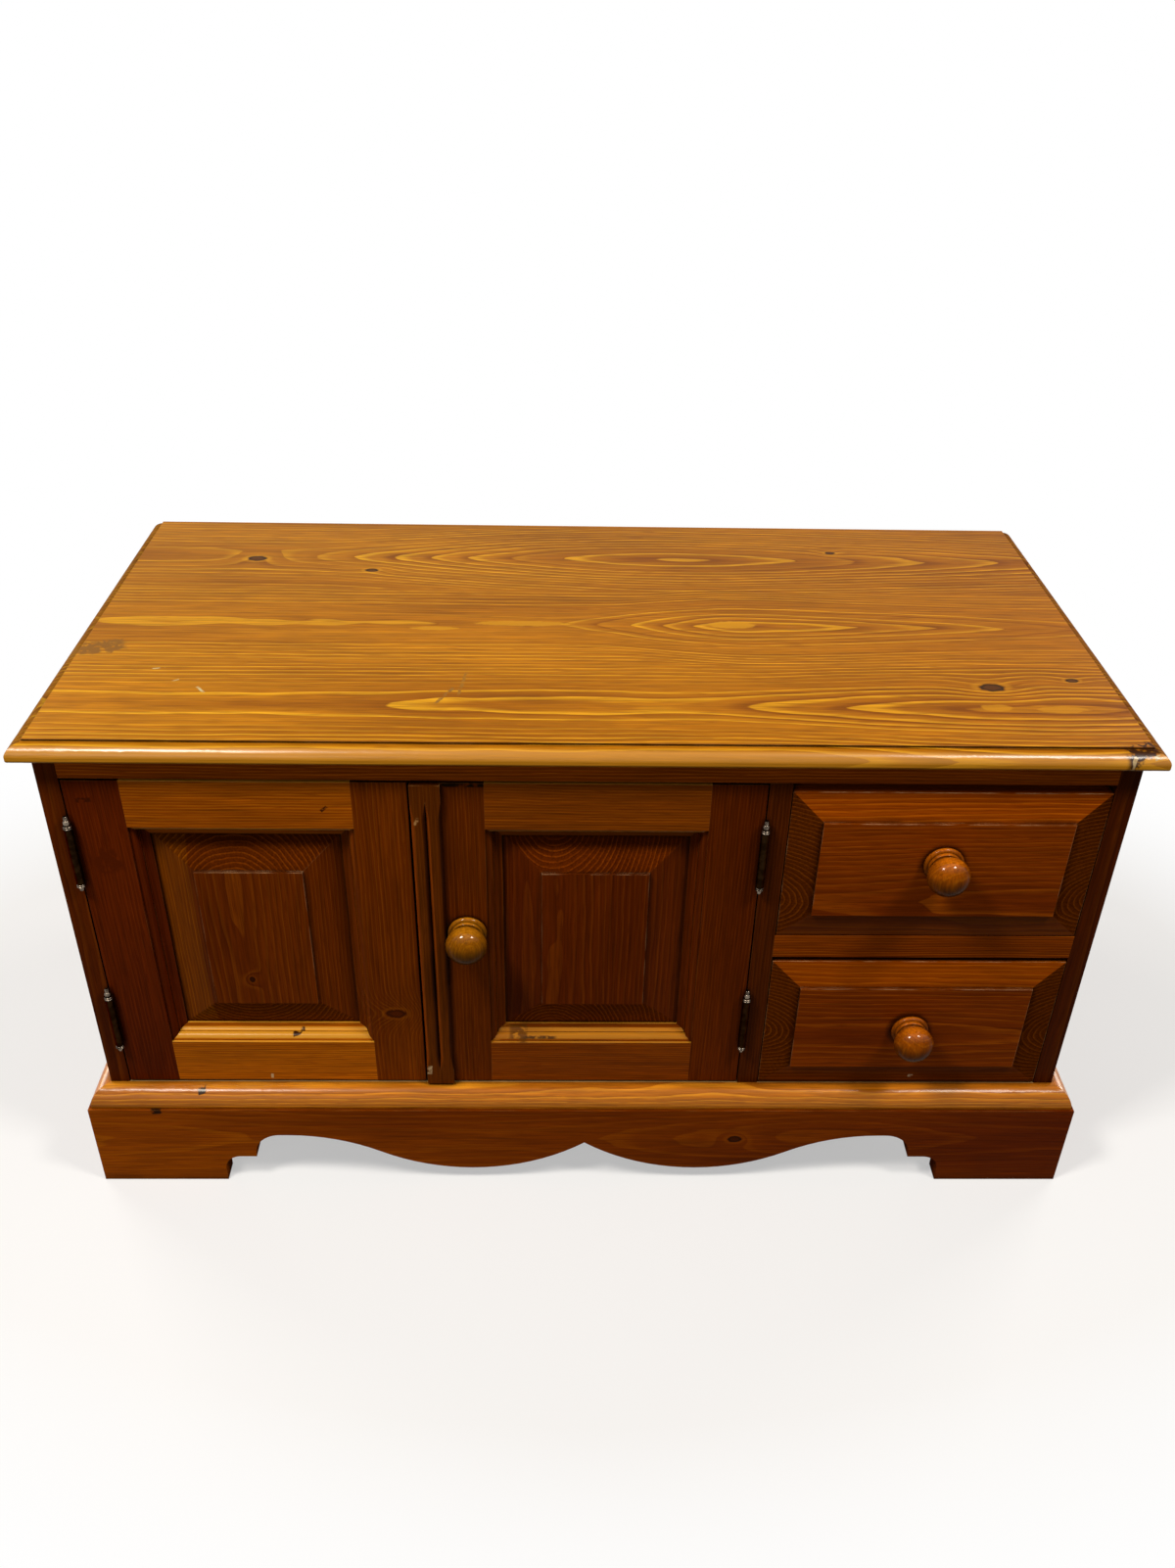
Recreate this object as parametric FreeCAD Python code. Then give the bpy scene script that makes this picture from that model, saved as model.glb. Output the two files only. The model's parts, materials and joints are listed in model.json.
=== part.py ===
import FreeCAD, Part
import math
import os

# Low pine cupboard: two panelled doors, two drawers, a moulded top and a bracket plinth.
# Millimetres. +X right, +Y to the back, +Z up, origin on the floor under the middle.
# The model is drawn with the front of the carcass on Y = 0 and moved to the origin on saving.

# Carcass
carcass_width = 1000.0
carcass_depth = 495.0
overall_height = 551.0
cupboard_width = 642.0       # clear width behind the two doors
side_thick = 20.0
divider_thick = 21.0
bottom_thick = 20.0
housing_depth = 6.0          # how far boards are let into the sides
side_skirt = 30.0            # how far the sides run below the bottom board
back_thick = 6.0
back_lap = 10.0              # how far the back laps into the sides
arris = 0.8                  # eased edges

# Top
top_thick = 18.0
top_front_over = 15.0
top_side_over = 16.0
top_edge_width = 13.0
top_quirk = 2.0
top_edge_drop = 12.0         # widest point of the edge below the surface
top_lower_round = 3.0

# Rails of the carcass
top_rail_height = 24.5
top_rail_depth = 70.0
top_rail_tenon = 10.0
drawer_rail_height = 28.0
drawer_rail_depth = 60.0
drawer_rail_tenon = 8.0
rail_shoulder = 6.0          # tenons stand in from the rail's edges by this
upper_drawer_extra = 4.0     # how much taller the upper drawer's opening is than the lower one's

# Plinth and base moulding
plinth_height = 107.0
plinth_thick = 22.0
plinth_ledge = 3.0
base_height = 20.5
base_flat = 2.5
base_fillet = 2.5
foot_width = 133.5
side_foot_width = 112.0
foot_rise = 18.5
foot_cove = 18.0
foot_flat = 17.0
foot_riser = 5.0
arch_cove = 28.0
arch_flat = 9.0
lobe_reach = 121.0           # middle of the front to the lowest point of each lobe
lobe_height = 18.8
cusp_height = 58.5
plinth_rail_thick = 20.0
plinth_rail_height = 50.0
corner_block = 40.0
glue_block_length = 60.0
glue_block_size = 22.0
glue_block_shares = (-0.25, 0.0, 0.25)   # of the carcass width

# Doors
door_thick = 24.0
door_side_gap = 1.2
door_top_gap = 2.0
door_bottom_gap = 2.5
door_meet_gap = 2.0
stile_face = 51.5
door_top_rail_face = 51.5
door_bottom_rail_face = 54.5
stick_quirk = 2.5            # the moulding worked on the inner edges of the frame
stick_ovolo = 6.5
stick_fillet = 1.0
stick_cove = 4.0
stick_ledge = 3.5
stick_lip = 2.0
tenon_thick = 7.0
tenon_length = 32.0
tenon_inset = 8.0
panel_tongue = 5.0
panel_groove = 8.0
panel_play = 0.7
panel_fit = 0.15
panel_margin = 1.5
panel_bevel = 36.0
panel_step = 2.5
panel_recess = 1.5

# Meeting strip
strip_tongue = 16.0
strip_lap = 12.0
strip_proud = 5.0
strip_block = 18.0
strip_taper = 20.0
strip_valley = 4.2
strip_valley_depth = 4.0
strip_shoulder = 3.6
strip_crown_share = 0.35     # how far the reeds bulge into the cut, of its depth

# Hinges
hinge_length = 62.0
hinge_top_inset = 81.0       # top of the door to the middle of the upper hinge
hinge_bottom_inset = 87.0
hinge_stand = 5.0            # pin's axis in front of the door's face
knuckle_radius = 4.0
knuckle_count = 5
knuckle_gap = 0.2
pin_radius = 1.8
pin_fit = 0.05
leaf_thick = 1.2
leaf_reach = 20.0
leaf_gap = 0.2
leaf_clear = 0.4
finial_neck_radius = 1.7
finial_ring_radius = 4.2
finial_ring_height = 2.0
finial_ball_radius = 3.3
finial_ball_height = 5.6
finial_tip_radius = 2.3
finial_tip_height = 4.2
hinge_screw_radius = 1.5
hinge_screw_head = 3.0
hinge_screw_length = 14.0
hinge_screw_shares = (-0.34, 0.0, 0.34)  # of the hinge's length
screw_fit = 0.05

# Catches
catch_width = 40.0
catch_depth = 15.0
catch_height = 12.0
catch_air = 0.3
catch_set_in = 36.0          # meeting edge of a door to the middle of its catch
catch_slot = 3.0
strike_width = 34.0
strike_height = 9.0
strike_thick = 1.2
strike_drop = 1.0

# Knobs
knob_length = 38.0
knob_radius = 20.0
knob_widest = 22.0           # face to the widest part
knob_base_radius = 19.0
knob_base_thick = 6.0
knob_collar_radius = 16.0
knob_collar_end = 9.0
knob_neck_radius = 12.5
knob_neck_end = 13.5
knob_cove = 2.5
door_knob_rise = 15.5        # above the middle of the door
knob_screw_radius = 2.0
knob_screw_head = 4.5
knob_screw_head_height = 2.6
knob_screw_grip = 18.0       # length in the knob

# Drawers
drawer_front_thick = 20.0
drawer_front_gap = 1.0
drawer_front_lift = 1.5      # front above what the drawer runs on
drawer_front_drop = 5.0      # top of the lower front below the rail
drawer_bevel = 30.0
drawer_bevel_rise = 5.5
drawer_step = 2.5
upper_knob_rise = 10.0       # above the middle of the front
lower_knob_rise = 0.0
drawer_side_thick = 12.0
drawer_side_drop = 8.0       # sides lower than the front by this
drawer_length = 455.0
drawer_back_thick = 12.0
drawer_back_inset = 10.0
drawer_back_housing = 4.0
drawer_back_drop = 6.0
drawer_bottom_thick = 6.0
drawer_bottom_rise = 8.0
drawer_bottom_groove = 5.0
drawer_bottom_play = 0.6
drawer_bottom_fit = 0.1
dovetail_length = 14.0
dovetail_count = 4
dovetail_root_share = 0.44   # of the pitch
dovetail_tip_share = 0.62
run_clear = 0.3
runner_width = 20.0
runner_height = 30.0
kicker_width = 20.0
kicker_clear = 3.0
stop_length = 30.0
stop_width = 10.0
stop_height = 4.0
stop_shares = (0.2, 0.8)     # across the drawer's opening

# Screws that hold the top down
top_screw_radius = 2.0
top_screw_head = 4.0
top_screw_grip = 11.0
top_screw_shares = (-0.4, -0.05, 0.33)   # of the carcass width

overrun = 10.0               # how far cutters run past what they cut

# Places that follow from the sizes
half_width = carcass_width / 2
side_in = half_width - side_thick
divider_left = cupboard_width - side_in
divider_right = divider_left + divider_thick
floor_z = plinth_height + base_height
under_floor = floor_z - bottom_thick
side_foot_z = under_floor - side_skirt
under_top = overall_height - top_thick
under_rail = under_top - top_rail_height
inner_depth = carcass_depth - back_thick
lower_drawer_space = (under_rail - floor_z - drawer_rail_height - upper_drawer_extra) / 2
rail_z = floor_z + lower_drawer_space
upper_floor = rail_z + drawer_rail_height
door_bottom = floor_z + door_bottom_gap
door_top = under_rail - door_top_gap
door_middle = (door_bottom + door_top) / 2
door_width = (cupboard_width - 2 * door_side_gap - door_meet_gap - strip_tongue) / 2
stick_width = stick_ovolo + stick_fillet + stick_cove + stick_ledge
stick_depth = stick_quirk + stick_ovolo + stick_cove
groove_front = stick_depth + stick_lip
groove_back = groove_front + panel_tongue + 2 * panel_fit
left_door_left = -side_in + door_side_gap
left_door_right = left_door_left + door_width
right_door_right = divider_left - door_side_gap
right_door_left = right_door_right - door_width
strip_left = right_door_left - strip_tongue
strip_right = right_door_left + strip_lap
left_pin_x = -side_in + door_side_gap / 2
right_pin_x = divider_left - door_side_gap / 2
hinge_heights = (door_top - hinge_top_inset, door_bottom + hinge_bottom_inset)
drawer_left = divider_right + drawer_front_gap
drawer_right = side_in - drawer_front_gap
drawer_middle = (drawer_left + drawer_right) / 2
drawer_front_height = lower_drawer_space - drawer_front_lift - drawer_front_drop
drawer_side_height = drawer_front_height - drawer_side_drop
drawer_field_proud = drawer_bevel_rise + drawer_step
face_y = (drawer_field_proud + knob_length - carcass_depth) / 2
round_share = 4 * (math.sqrt(2) - 1) / 3   # handle length of a quarter round, of its radius


def vec(x, y, z):
    return FreeCAD.Vector(x, y, z)


def in_xy(a, b):
    return vec(a, b, 0)


def in_xz(a, b):
    return vec(a, 0, b)


def in_yz(a, b):
    return vec(0, a, b)


def box(x0, x1, y0, y1, z0, z1):
    return Part.makeBox(x1 - x0, y1 - y0, z1 - z0, vec(x0, y0, z0))


# An outline is a start and a list of steps: a line to a point, a quarter round that turns at
# a corner, or an arc through a point.
def line(end):
    return ("line", end)


def turn(corner, end):
    return ("turn", corner, end)


def arc(through, end):
    return ("arc", through, end)


def step_edge(plane, here, step):
    end = plane(*step[-1])
    if step[0] == "line":
        return Part.LineSegment(here, end).toShape()
    if step[0] == "arc":
        return Part.Arc(here, plane(*step[1]), end).toShape()
    corner = plane(*step[1])
    curve = Part.BezierCurve()
    curve.setPoles([here, here + (corner - here) * round_share, end + (corner - end) * round_share, end])
    return curve.toShape()


def outline_face(plane, start, steps):
    edges = []
    here = plane(*start)
    for step in steps:
        edges.append(step_edge(plane, here, step))
        here = plane(*step[-1])
    if steps[-1][-1] != start:
        edges.append(Part.LineSegment(here, plane(*start)).toShape())
    return Part.Face(Part.Wire(edges))


def polygon(plane, points):
    return outline_face(plane, points[0], [line(point) for point in points[1:]])


def along_x(face, x0, x1):
    return face.translated(vec(x0, 0, 0)).extrude(vec(x1 - x0, 0, 0))


def along_y(face, y0, y1):
    return face.translated(vec(0, y0, 0)).extrude(vec(0, y1 - y0, 0))


def along_z(face, z0, z1):
    return face.translated(vec(0, 0, z0)).extrude(vec(0, 0, z1 - z0))


def mirrored(shape):
    return shape.mirror(vec(0, 0, 0), vec(1, 0, 0))


def joined(*shapes):
    return shapes[0].fuse(list(shapes[1:])).removeSplitter()


# Eases the edges that lie on the plane Y = y and pass a test on their middle point.
def eased(shape, y, wanted):
    chosen = []
    for edge in shape.Edges:
        ends = [vertex.Point for vertex in edge.Vertexes]
        flat = all(abs(end.y - y) < arris for end in ends)
        if flat and wanted(edge.CenterOfMass):
            chosen.append(edge)
    return shape.makeFillet(arris, chosen)


def save(name, *shapes):
    whole = shapes[0] if len(shapes) == 1 else Part.makeCompound(list(shapes))
    whole.translated(vec(0, face_y, 0)).exportStep("parts/" + name + ".step")


# Screws: a shank with a countersunk head, and the hole that takes them.
def screw(point, direction, length, radius, head, grow):
    shank = Part.makeCylinder(radius + grow, length + grow, point, direction)
    cone = Part.makeCone(head + grow, radius + grow, head - radius, point, direction)
    return joined(shank, cone)


def top_screw_set(grow):
    length = top_rail_height + top_screw_grip
    rows = (top_rail_depth / 2, inner_depth - top_rail_depth / 2)
    places = [vec(share * carcass_width, y, under_rail) for share in top_screw_shares for y in rows]
    return [screw(p, vec(0, 0, 1), length, top_screw_radius, top_screw_head, grow) for p in places]


# Hinges. Each one is drawn about its pin; hand is 1 where the door lies to the right of the pin.
def leaf_plate(pin_x, z, side, grow):
    near = leaf_gap / 2
    far = near + leaf_thick + grow
    x0, x1 = sorted((pin_x + side * near, pin_x + side * far))
    front = -hinge_stand + knuckle_radius + leaf_clear
    half = hinge_length / 2 + grow
    return box(x0, x1, front, leaf_reach + grow, z - half, z + half)


def knuckle_spans(first):
    pitch = hinge_length / knuckle_count
    bottom = -hinge_length / 2
    spans = []
    for index in range(first, knuckle_count, 2):
        start = bottom + index * pitch + knuckle_gap / 2
        spans.append((start, start + pitch - knuckle_gap))
    return spans


def hinge_leaf(pin_x, z, side, first):
    up = vec(0, 0, 1)
    solids = [leaf_plate(pin_x, z, side, 0)]
    x0, x1 = sorted((pin_x + side * leaf_gap / 2, pin_x + side * (leaf_gap / 2 + leaf_thick)))
    for low, high in knuckle_spans(first):
        barrel = Part.makeCylinder(knuckle_radius, high - low, vec(pin_x, -hinge_stand, z + low), up)
        tab = box(x0, x1, -hinge_stand, knuckle_radius + leaf_clear - hinge_stand, z + low, z + high)
        solids += [barrel, tab]
    leaf = joined(*solids)
    bore_start = vec(pin_x, -hinge_stand, z - hinge_length)
    bore = Part.makeCylinder(pin_radius + pin_fit, 2 * hinge_length, bore_start, up)
    holes = leaf_screws(pin_x, z, side, screw_fit)
    return leaf.cut([bore] + holes)


def leaf_screws(pin_x, z, side, grow):
    x = pin_x + side * leaf_gap / 2
    y = leaf_reach / 2
    places = [vec(x, y, z + share * hinge_length) for share in hinge_screw_shares]
    outward = vec(side, 0, 0)
    size = (hinge_screw_length, hinge_screw_radius, hinge_screw_head, grow)
    return [screw(place, outward, *size) for place in places]


# What is cut from the wood behind a pair of leaves: their sinkings and the screw holes.
def leaf_cutters(pin_x, side):
    cutters = []
    for z in hinge_heights:
        cutters.append(leaf_plate(pin_x, z, side, 0))
        cutters += leaf_screws(pin_x, z, side, screw_fit)
    return cutters


def bead_steps(start, beads):
    steps = []
    z = start
    for radius, height in beads:
        middle = z + height / 2
        top = z + height
        steps.append(turn((radius, z), (radius, middle)))
        steps.append(turn((radius, top), (finial_neck_radius, top)))
        z = top
    return steps, z


def finial(beads):
    start = hinge_length / 2 + knuckle_gap
    steps, top = bead_steps(start, beads)
    face = outline_face(in_xz, (0, start), [line((finial_neck_radius, start))] + steps + [line((0, top))])
    return face.revolve(vec(0, 0, 0), vec(0, 0, 1), 360)


def hinge_pin(pin_x, z):
    ring = (finial_ring_radius, finial_ring_height)
    ball = (finial_ball_radius, finial_ball_height)
    tip = (finial_tip_radius, finial_tip_height)
    upper = finial((ring, ring, ball, tip))
    lower = finial((ring, ring, tip)).mirror(vec(0, 0, 0), vec(0, 0, 1))
    reach = hinge_length / 2 + knuckle_gap + finial_ring_height
    shaft = Part.makeCylinder(pin_radius, 2 * reach, vec(0, 0, -reach), vec(0, 0, 1))
    return joined(shaft, upper, lower).translated(vec(pin_x, -hinge_stand, z))


def make_hinges():
    pins = []
    for name, pin_x, door_side in (("left", left_pin_x, 1), ("right", right_pin_x, -1)):
        save(name + "_hinge_frame_leaves", *[hinge_leaf(pin_x, z, -door_side, 0) for z in hinge_heights])
        save(name + "_hinge_door_leaves", *[hinge_leaf(pin_x, z, door_side, 1) for z in hinge_heights])
        door_screws = [one for z in hinge_heights for one in leaf_screws(pin_x, z, door_side, 0)]
        save(name + "_hinge_door_screws", *door_screws)
        pins += [hinge_pin(pin_x, z) for z in hinge_heights]
    save("hinge_pins", *pins)
    frame_screws = [one for z in hinge_heights for one in leaf_screws(left_pin_x, z, -1, 0)]
    frame_screws += [one for z in hinge_heights for one in leaf_screws(right_pin_x, z, 1, 0)]
    save("hinge_frame_screws", *frame_screws)


# The waste taken off the top's edge by the cutter: u runs in from the outermost line.
def top_edge_waste(plane, sign, edge):
    top = overall_height
    low = under_top

    def at(u, z):
        return (edge - sign * u, z)

    steps = [
        line(at(top_edge_width, top - top_quirk)),
        turn(at(0, top - top_quirk), at(0, top - top_edge_drop)),
        line(at(0, low + top_lower_round)),
        turn(at(0, low), at(top_lower_round, low)),
        line(at(top_lower_round, low - overrun)),
        line(at(-overrun, low - overrun)),
        line(at(-overrun, top + overrun)),
        line(at(top_edge_width, top + overrun)),
    ]
    return outline_face(plane, at(top_edge_width, top + overrun), steps)


def make_top():
    reach = half_width + top_side_over
    board = box(-reach, reach, -top_front_over, carcass_depth, under_top, overall_height)
    front = along_x(top_edge_waste(in_yz, -1, -top_front_over), -reach - overrun, reach + overrun)
    ends = (-top_front_over - overrun, carcass_depth + overrun)
    right = along_y(top_edge_waste(in_xz, 1, reach), *ends)
    board = board.cut([front, right, mirrored(right)])
    save("top_board", board.cut(top_screw_set(screw_fit)))
    save("top_screws", *top_screw_set(0))


def top_rail_boxes(y0):
    y1 = y0 + top_rail_depth
    rail = box(-side_in, side_in, y0, y1, under_rail, under_top)
    reach = side_in + top_rail_tenon
    z0 = under_rail + rail_shoulder
    z1 = under_top - rail_shoulder
    tenon = box(-reach, reach, y0 + rail_shoulder, y1 - rail_shoulder, z0, z1)
    return rail, tenon


front_rail_boxes = top_rail_boxes(0)
back_rail_boxes = top_rail_boxes(inner_depth - top_rail_depth)
drawer_rail_tenon_box = box(divider_right - drawer_rail_tenon, side_in + drawer_rail_tenon,
                            rail_shoulder, drawer_rail_depth - rail_shoulder,
                            rail_z + rail_shoulder, upper_floor - rail_shoulder)


def make_rails():
    holes = top_screw_set(screw_fit)
    rail, tenon = front_rail_boxes
    rail = eased(rail, 0, lambda middle: middle.z < under_rail + arris)
    save("front_top_rail", joined(rail, tenon).cut(holes))
    save("back_top_rail", joined(*back_rail_boxes).cut(holes))
    rail = box(divider_right, side_in, 0, drawer_rail_depth, rail_z, upper_floor)
    rail = eased(rail, 0, lambda middle: abs(middle.x - drawer_middle) < side_thick)
    save("drawer_rail", joined(rail, drawer_rail_tenon_box))


def make_sides():
    side = box(side_in, half_width, 0, carcass_depth, side_foot_z, under_top)
    side = eased(side, 0, lambda middle: abs(middle.z - (side_foot_z + under_top) / 2) < side_thick)
    near = side_in - overrun
    rebate = box(near, side_in + back_lap, inner_depth, carcass_depth + overrun, under_floor, under_top)
    housing = box(near, side_in + housing_depth, -overrun, inner_depth, under_floor, floor_z)
    tenons = [front_rail_boxes[1], back_rail_boxes[1]]
    side = side.cut([rebate, housing] + tenons)
    save("right_side", side.cut(drawer_rail_tenon_box))
    save("left_side", mirrored(side).cut(leaf_cutters(left_pin_x, -1)))


def make_inside_boards():
    reach = side_in + housing_depth
    board = box(-reach, reach, 0, inner_depth, under_floor, floor_z)
    slot = box(divider_left, divider_right, 0, inner_depth, floor_z - housing_depth, floor_z)
    save("bottom_board", board.cut(slot))
    divider = box(divider_left, divider_right, 0, inner_depth, floor_z - housing_depth, under_top)
    divider = divider.cut([front_rail_boxes[0], back_rail_boxes[0], drawer_rail_tenon_box])
    save("divider", divider.cut(leaf_cutters(right_pin_x, 1)))
    reach = side_in + back_lap
    save("back_panel", box(-reach, reach, inner_depth, carcass_depth, under_floor, under_top))


# Half of the front plinth's lower edge, from the cusp in the middle to the foot.
def apron_steps(sign):
    foot_x = half_width + plinth_thick - foot_width
    flat_end = foot_x - foot_cove
    riser_x = flat_end - foot_flat
    peak_x = riser_x - arch_cove - arch_flat
    flat_z = foot_rise + foot_cove
    peak_z = flat_z + foot_riser + arch_cove
    bow = curve_radius(lobe_reach, cusp_height - lobe_height)
    wave = curve_radius((peak_x - lobe_reach) / 2, (peak_z - lobe_height) / 2)
    middle = ((peak_x + lobe_reach) / 2, (peak_z + lobe_height) / 2)
    cusp_mid = (lobe_reach / 2, lobe_height + curve_rise(bow, lobe_reach / 2))
    quarter = (peak_x - lobe_reach) / 4
    rise_mid = (lobe_reach + quarter, lobe_height + curve_rise(wave, quarter))
    fall_mid = (peak_x - quarter, peak_z - curve_rise(wave, quarter))
    steps = [
        arc(cusp_mid, (lobe_reach, lobe_height)),
        arc(rise_mid, middle),
        arc(fall_mid, (peak_x, peak_z)),
        line((riser_x - arch_cove, peak_z)),
        turn((riser_x, peak_z), (riser_x, flat_z + foot_riser)),
        line((riser_x, flat_z)),
        line((flat_end, flat_z)),
        turn((foot_x, flat_z), (foot_x, foot_rise)),
        line((foot_x, 0)),
    ]
    return [(step[0],) + tuple((sign * x, z) for x, z in step[1:]) for step in steps]


def curve_radius(run, rise):
    return (run * run + rise * rise) / (2 * rise)


def curve_rise(radius, run):
    return radius - math.sqrt(radius * radius - run * run)


# The same steps walked from their end back to the start.
def reversed_steps(start, steps):
    points = [start] + [step[-1] for step in steps]
    back = []
    for index in range(len(steps) - 1, -1, -1):
        step = steps[index]
        back.append((step[0],) + step[1:-1] + (points[index],))
    return back


def front_plinth_face():
    cusp = (0, cusp_height)
    end = half_width + plinth_thick
    left = reversed_steps(cusp, apron_steps(-1))
    right = apron_steps(1)
    corners = [(end, 0), (end, plinth_height), (-end, plinth_height), (-end, 0)]
    steps = left + right + [line(corner) for corner in corners]
    return outline_face(in_xz, (foot_width - end, 0), steps)


# The side plinth has the same bracket at both ends and a straight edge between them.
def side_plinth_face():
    front = -plinth_thick
    flat_z = foot_rise + foot_cove
    peak_z = flat_z + foot_riser + arch_cove
    back_inner = carcass_depth - side_foot_width
    front_inner = front + side_foot_width

    def bracket(inner, way):
        flat_end = inner + way * foot_cove
        riser = flat_end + way * foot_flat
        return [
            line((inner, foot_rise)),
            turn((inner, flat_z), (flat_end, flat_z)),
            line((riser, flat_z)),
            line((riser, flat_z + foot_riser)),
            turn((riser, peak_z), (riser + way * arch_cove, peak_z)),
        ]

    first = bracket(front_inner, 1)
    second = bracket(back_inner, -1)
    second_start = (back_inner, 0)
    steps = first + [line(second[-1][-1])] + reversed_steps(second_start, second)
    steps += [line((carcass_depth, 0)), line((carcass_depth, plinth_height)), line((front, plinth_height))]
    steps.append(line((front, 0)))
    return outline_face(in_yz, (front_inner, 0), steps)


# Plan shapes that cut boards of a given width to a mitre at the front corners.
def front_mitre(width, z0, z1):
    out = half_width + width
    return along_z(polygon(in_xy, [(-half_width, 0), (half_width, 0), (out, -width), (-out, -width)]), z0, z1)


def side_mitre(width, z0, z1):
    out = half_width + width
    points = [(half_width, 0), (half_width, carcass_depth), (out, carcass_depth), (out, -width)]
    return along_z(polygon(in_xy, points), z0, z1)


def base_profile(plane, sign, wall):
    width = plinth_thick - plinth_ledge

    def at(u, z):
        return (wall + sign * u, z)

    steps = [
        line(at(width, plinth_height)),
        line(at(width, plinth_height + base_fillet)),
        turn(at(width, floor_z), at(base_flat, floor_z)),
        line(at(0, floor_z)),
        line(at(0, plinth_height)),
    ]
    return outline_face(plane, at(0, plinth_height), steps)


def make_plinth():
    end = half_width + plinth_thick
    front = along_y(front_plinth_face(), -plinth_thick, 0)
    save("front_plinth", front.common(front_mitre(plinth_thick, 0, plinth_height)))
    side = along_x(side_plinth_face(), half_width, end)
    side = side.common(side_mitre(plinth_thick, 0, plinth_height))
    save("right_plinth", side)
    save("left_plinth", mirrored(side))
    width = plinth_thick - plinth_ledge
    front = along_x(base_profile(in_yz, -1, 0), -end, end)
    save("front_base_moulding", front.common(front_mitre(width, plinth_height, floor_z)))
    side = along_y(base_profile(in_xz, 1, half_width), -plinth_thick, carcass_depth)
    side = side.common(side_mitre(width, plinth_height, floor_z))
    save("right_base_moulding", side)
    save("left_base_moulding", mirrored(side))
    rail_y = inner_depth - plinth_rail_thick
    rail = box(-side_in, side_in, rail_y, inner_depth, under_floor - plinth_rail_height, under_floor)
    save("back_plinth_rail", rail)
    make_plinth_blocks(rail)


# The back corner blocks are notched for the rail between them.
def make_plinth_blocks(rail):
    inner = half_width - corner_block
    blocks = []
    for y in (0, carcass_depth - corner_block):
        block = box(inner, half_width, y, y + corner_block, 0, side_foot_z).cut(rail)
        blocks += [block, mirrored(block)]
    for share in glue_block_shares:
        x = share * carcass_width - glue_block_length / 2
        z = under_floor - glue_block_size
        blocks.append(box(x, x + glue_block_length, 0, glue_block_size, z, under_floor))
    save("plinth_blocks", *blocks)


# The hollow in front of a door's panel, with the moulding's shape on all four sides.
def stick_steps(edge, sign):
    def at(u, d):
        return (edge + sign * u, d)

    cove_start = stick_ovolo + stick_fillet
    cove_end = cove_start + stick_cove
    ovolo_low = stick_quirk + stick_ovolo
    return at(0, 0), [
        line(at(0, stick_quirk)),
        turn(at(stick_ovolo, stick_quirk), at(stick_ovolo, ovolo_low)),
        line(at(cove_start, ovolo_low)),
        turn(at(cove_start, stick_depth), at(cove_end, stick_depth)),
        line(at(stick_width, stick_depth)),
    ]


def hollow_face(plane, low, high):
    start, first = stick_steps(low, 1)
    far, second = stick_steps(high, -1)
    steps = first + [line(second[-1][-1])] + reversed_steps(far, second)
    steps += [line((high, -overrun)), line((low, -overrun))]
    return outline_face(plane, start, steps)


def in_zy(a, b):
    return vec(0, b, a)


def door_hollow(x0, x1, z0, z1):
    across = along_z(hollow_face(in_xy, x0, x1), z0, z1)
    upright = along_x(hollow_face(in_zy, z0, z1), x0, x1)
    return across.common(upright)


def rect_wire(x0, x1, z0, z1, y):
    corners = [vec(x0, y, z0), vec(x1, y, z0), vec(x1, y, z1), vec(x0, y, z1), vec(x0, y, z0)]
    return Part.makePolygon(corners)


def inset(rect, by):
    x0, x1, z0, z1 = rect
    return (x0 + by, x1 - by, z0 + by, z1 - by)


# A raised field: a bevel from one rectangle up to a smaller one, and a step to the flat.
def raised_field(rect, y_low, y_high, bevel, y_face):
    field = inset(rect, bevel)
    slope = Part.makeLoft([rect_wire(*rect, y_low), rect_wire(*field, y_high)], True, True)
    x0, x1, z0, z1 = field
    return [slope, box(x0, x1, y_face, y_high, z0, z1)]


def door_panel(opening):
    groove = inset(opening, panel_play - panel_groove)
    x0, x1, z0, z1 = groove
    front = groove_front + panel_fit
    tongue = box(x0, x1, front, front + panel_tongue, z0, z1)
    field_edge = panel_recess + panel_step
    raised = raised_field(inset(opening, panel_margin), front, field_edge, panel_bevel, panel_recess)
    return joined(tongue, *raised)


# Stiles, rails and panel of one door between two heights, keyed by their place.
def door_pieces(left, right):
    sight = (left + stile_face, right - stile_face,
             door_bottom + door_bottom_rail_face, door_top - door_top_rail_face)
    opening = inset(sight, stick_width)
    sx0, sx1, sz0, sz1 = sight
    ox0, ox1, oz0, oz1 = opening
    gx0, gx1, gz0, gz1 = inset(opening, -panel_groove)
    groove = box(gx0, gx1, groove_front, groove_back, gz0, gz1)
    hollow = door_hollow(sx0, sx1, sz0, sz1)
    tenons = {
        "top_rail": door_tenon(sx0, sx1, sz1, door_top),
        "bottom_rail": door_tenon(sx0, sx1, door_bottom, sz0),
    }
    shapes = {
        "left_stile": [(left, door_bottom), (left, door_top), (sx0, door_top), (sx0, sz1), (ox0, oz1),
                       (ox0, oz0), (sx0, sz0), (sx0, door_bottom)],
        "right_stile": [(right, door_bottom), (right, door_top), (sx1, door_top), (sx1, sz1), (ox1, oz1),
                        (ox1, oz0), (sx1, sz0), (sx1, door_bottom)],
        "top_rail": [(sx0, door_top), (sx1, door_top), (sx1, sz1), (ox1, oz1), (ox0, oz1), (sx0, sz1)],
        "bottom_rail": [(sx0, door_bottom), (sx1, door_bottom), (sx1, sz0), (ox1, oz0), (ox0, oz0),
                        (sx0, sz0)],
    }
    pieces = {"panel": door_panel(opening)}
    for name, points in shapes.items():
        piece = along_y(polygon(in_xz, points), 0, door_thick)
        piece = eased(piece, 0, lambda middle: on_rim(middle, left, right, name))
        piece = piece.cut([hollow, groove])
        if name in tenons:
            piece = joined(piece, tenons[name])
        else:
            piece = piece.cut(list(tenons.values()))
        pieces[name] = piece
    return pieces


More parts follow.
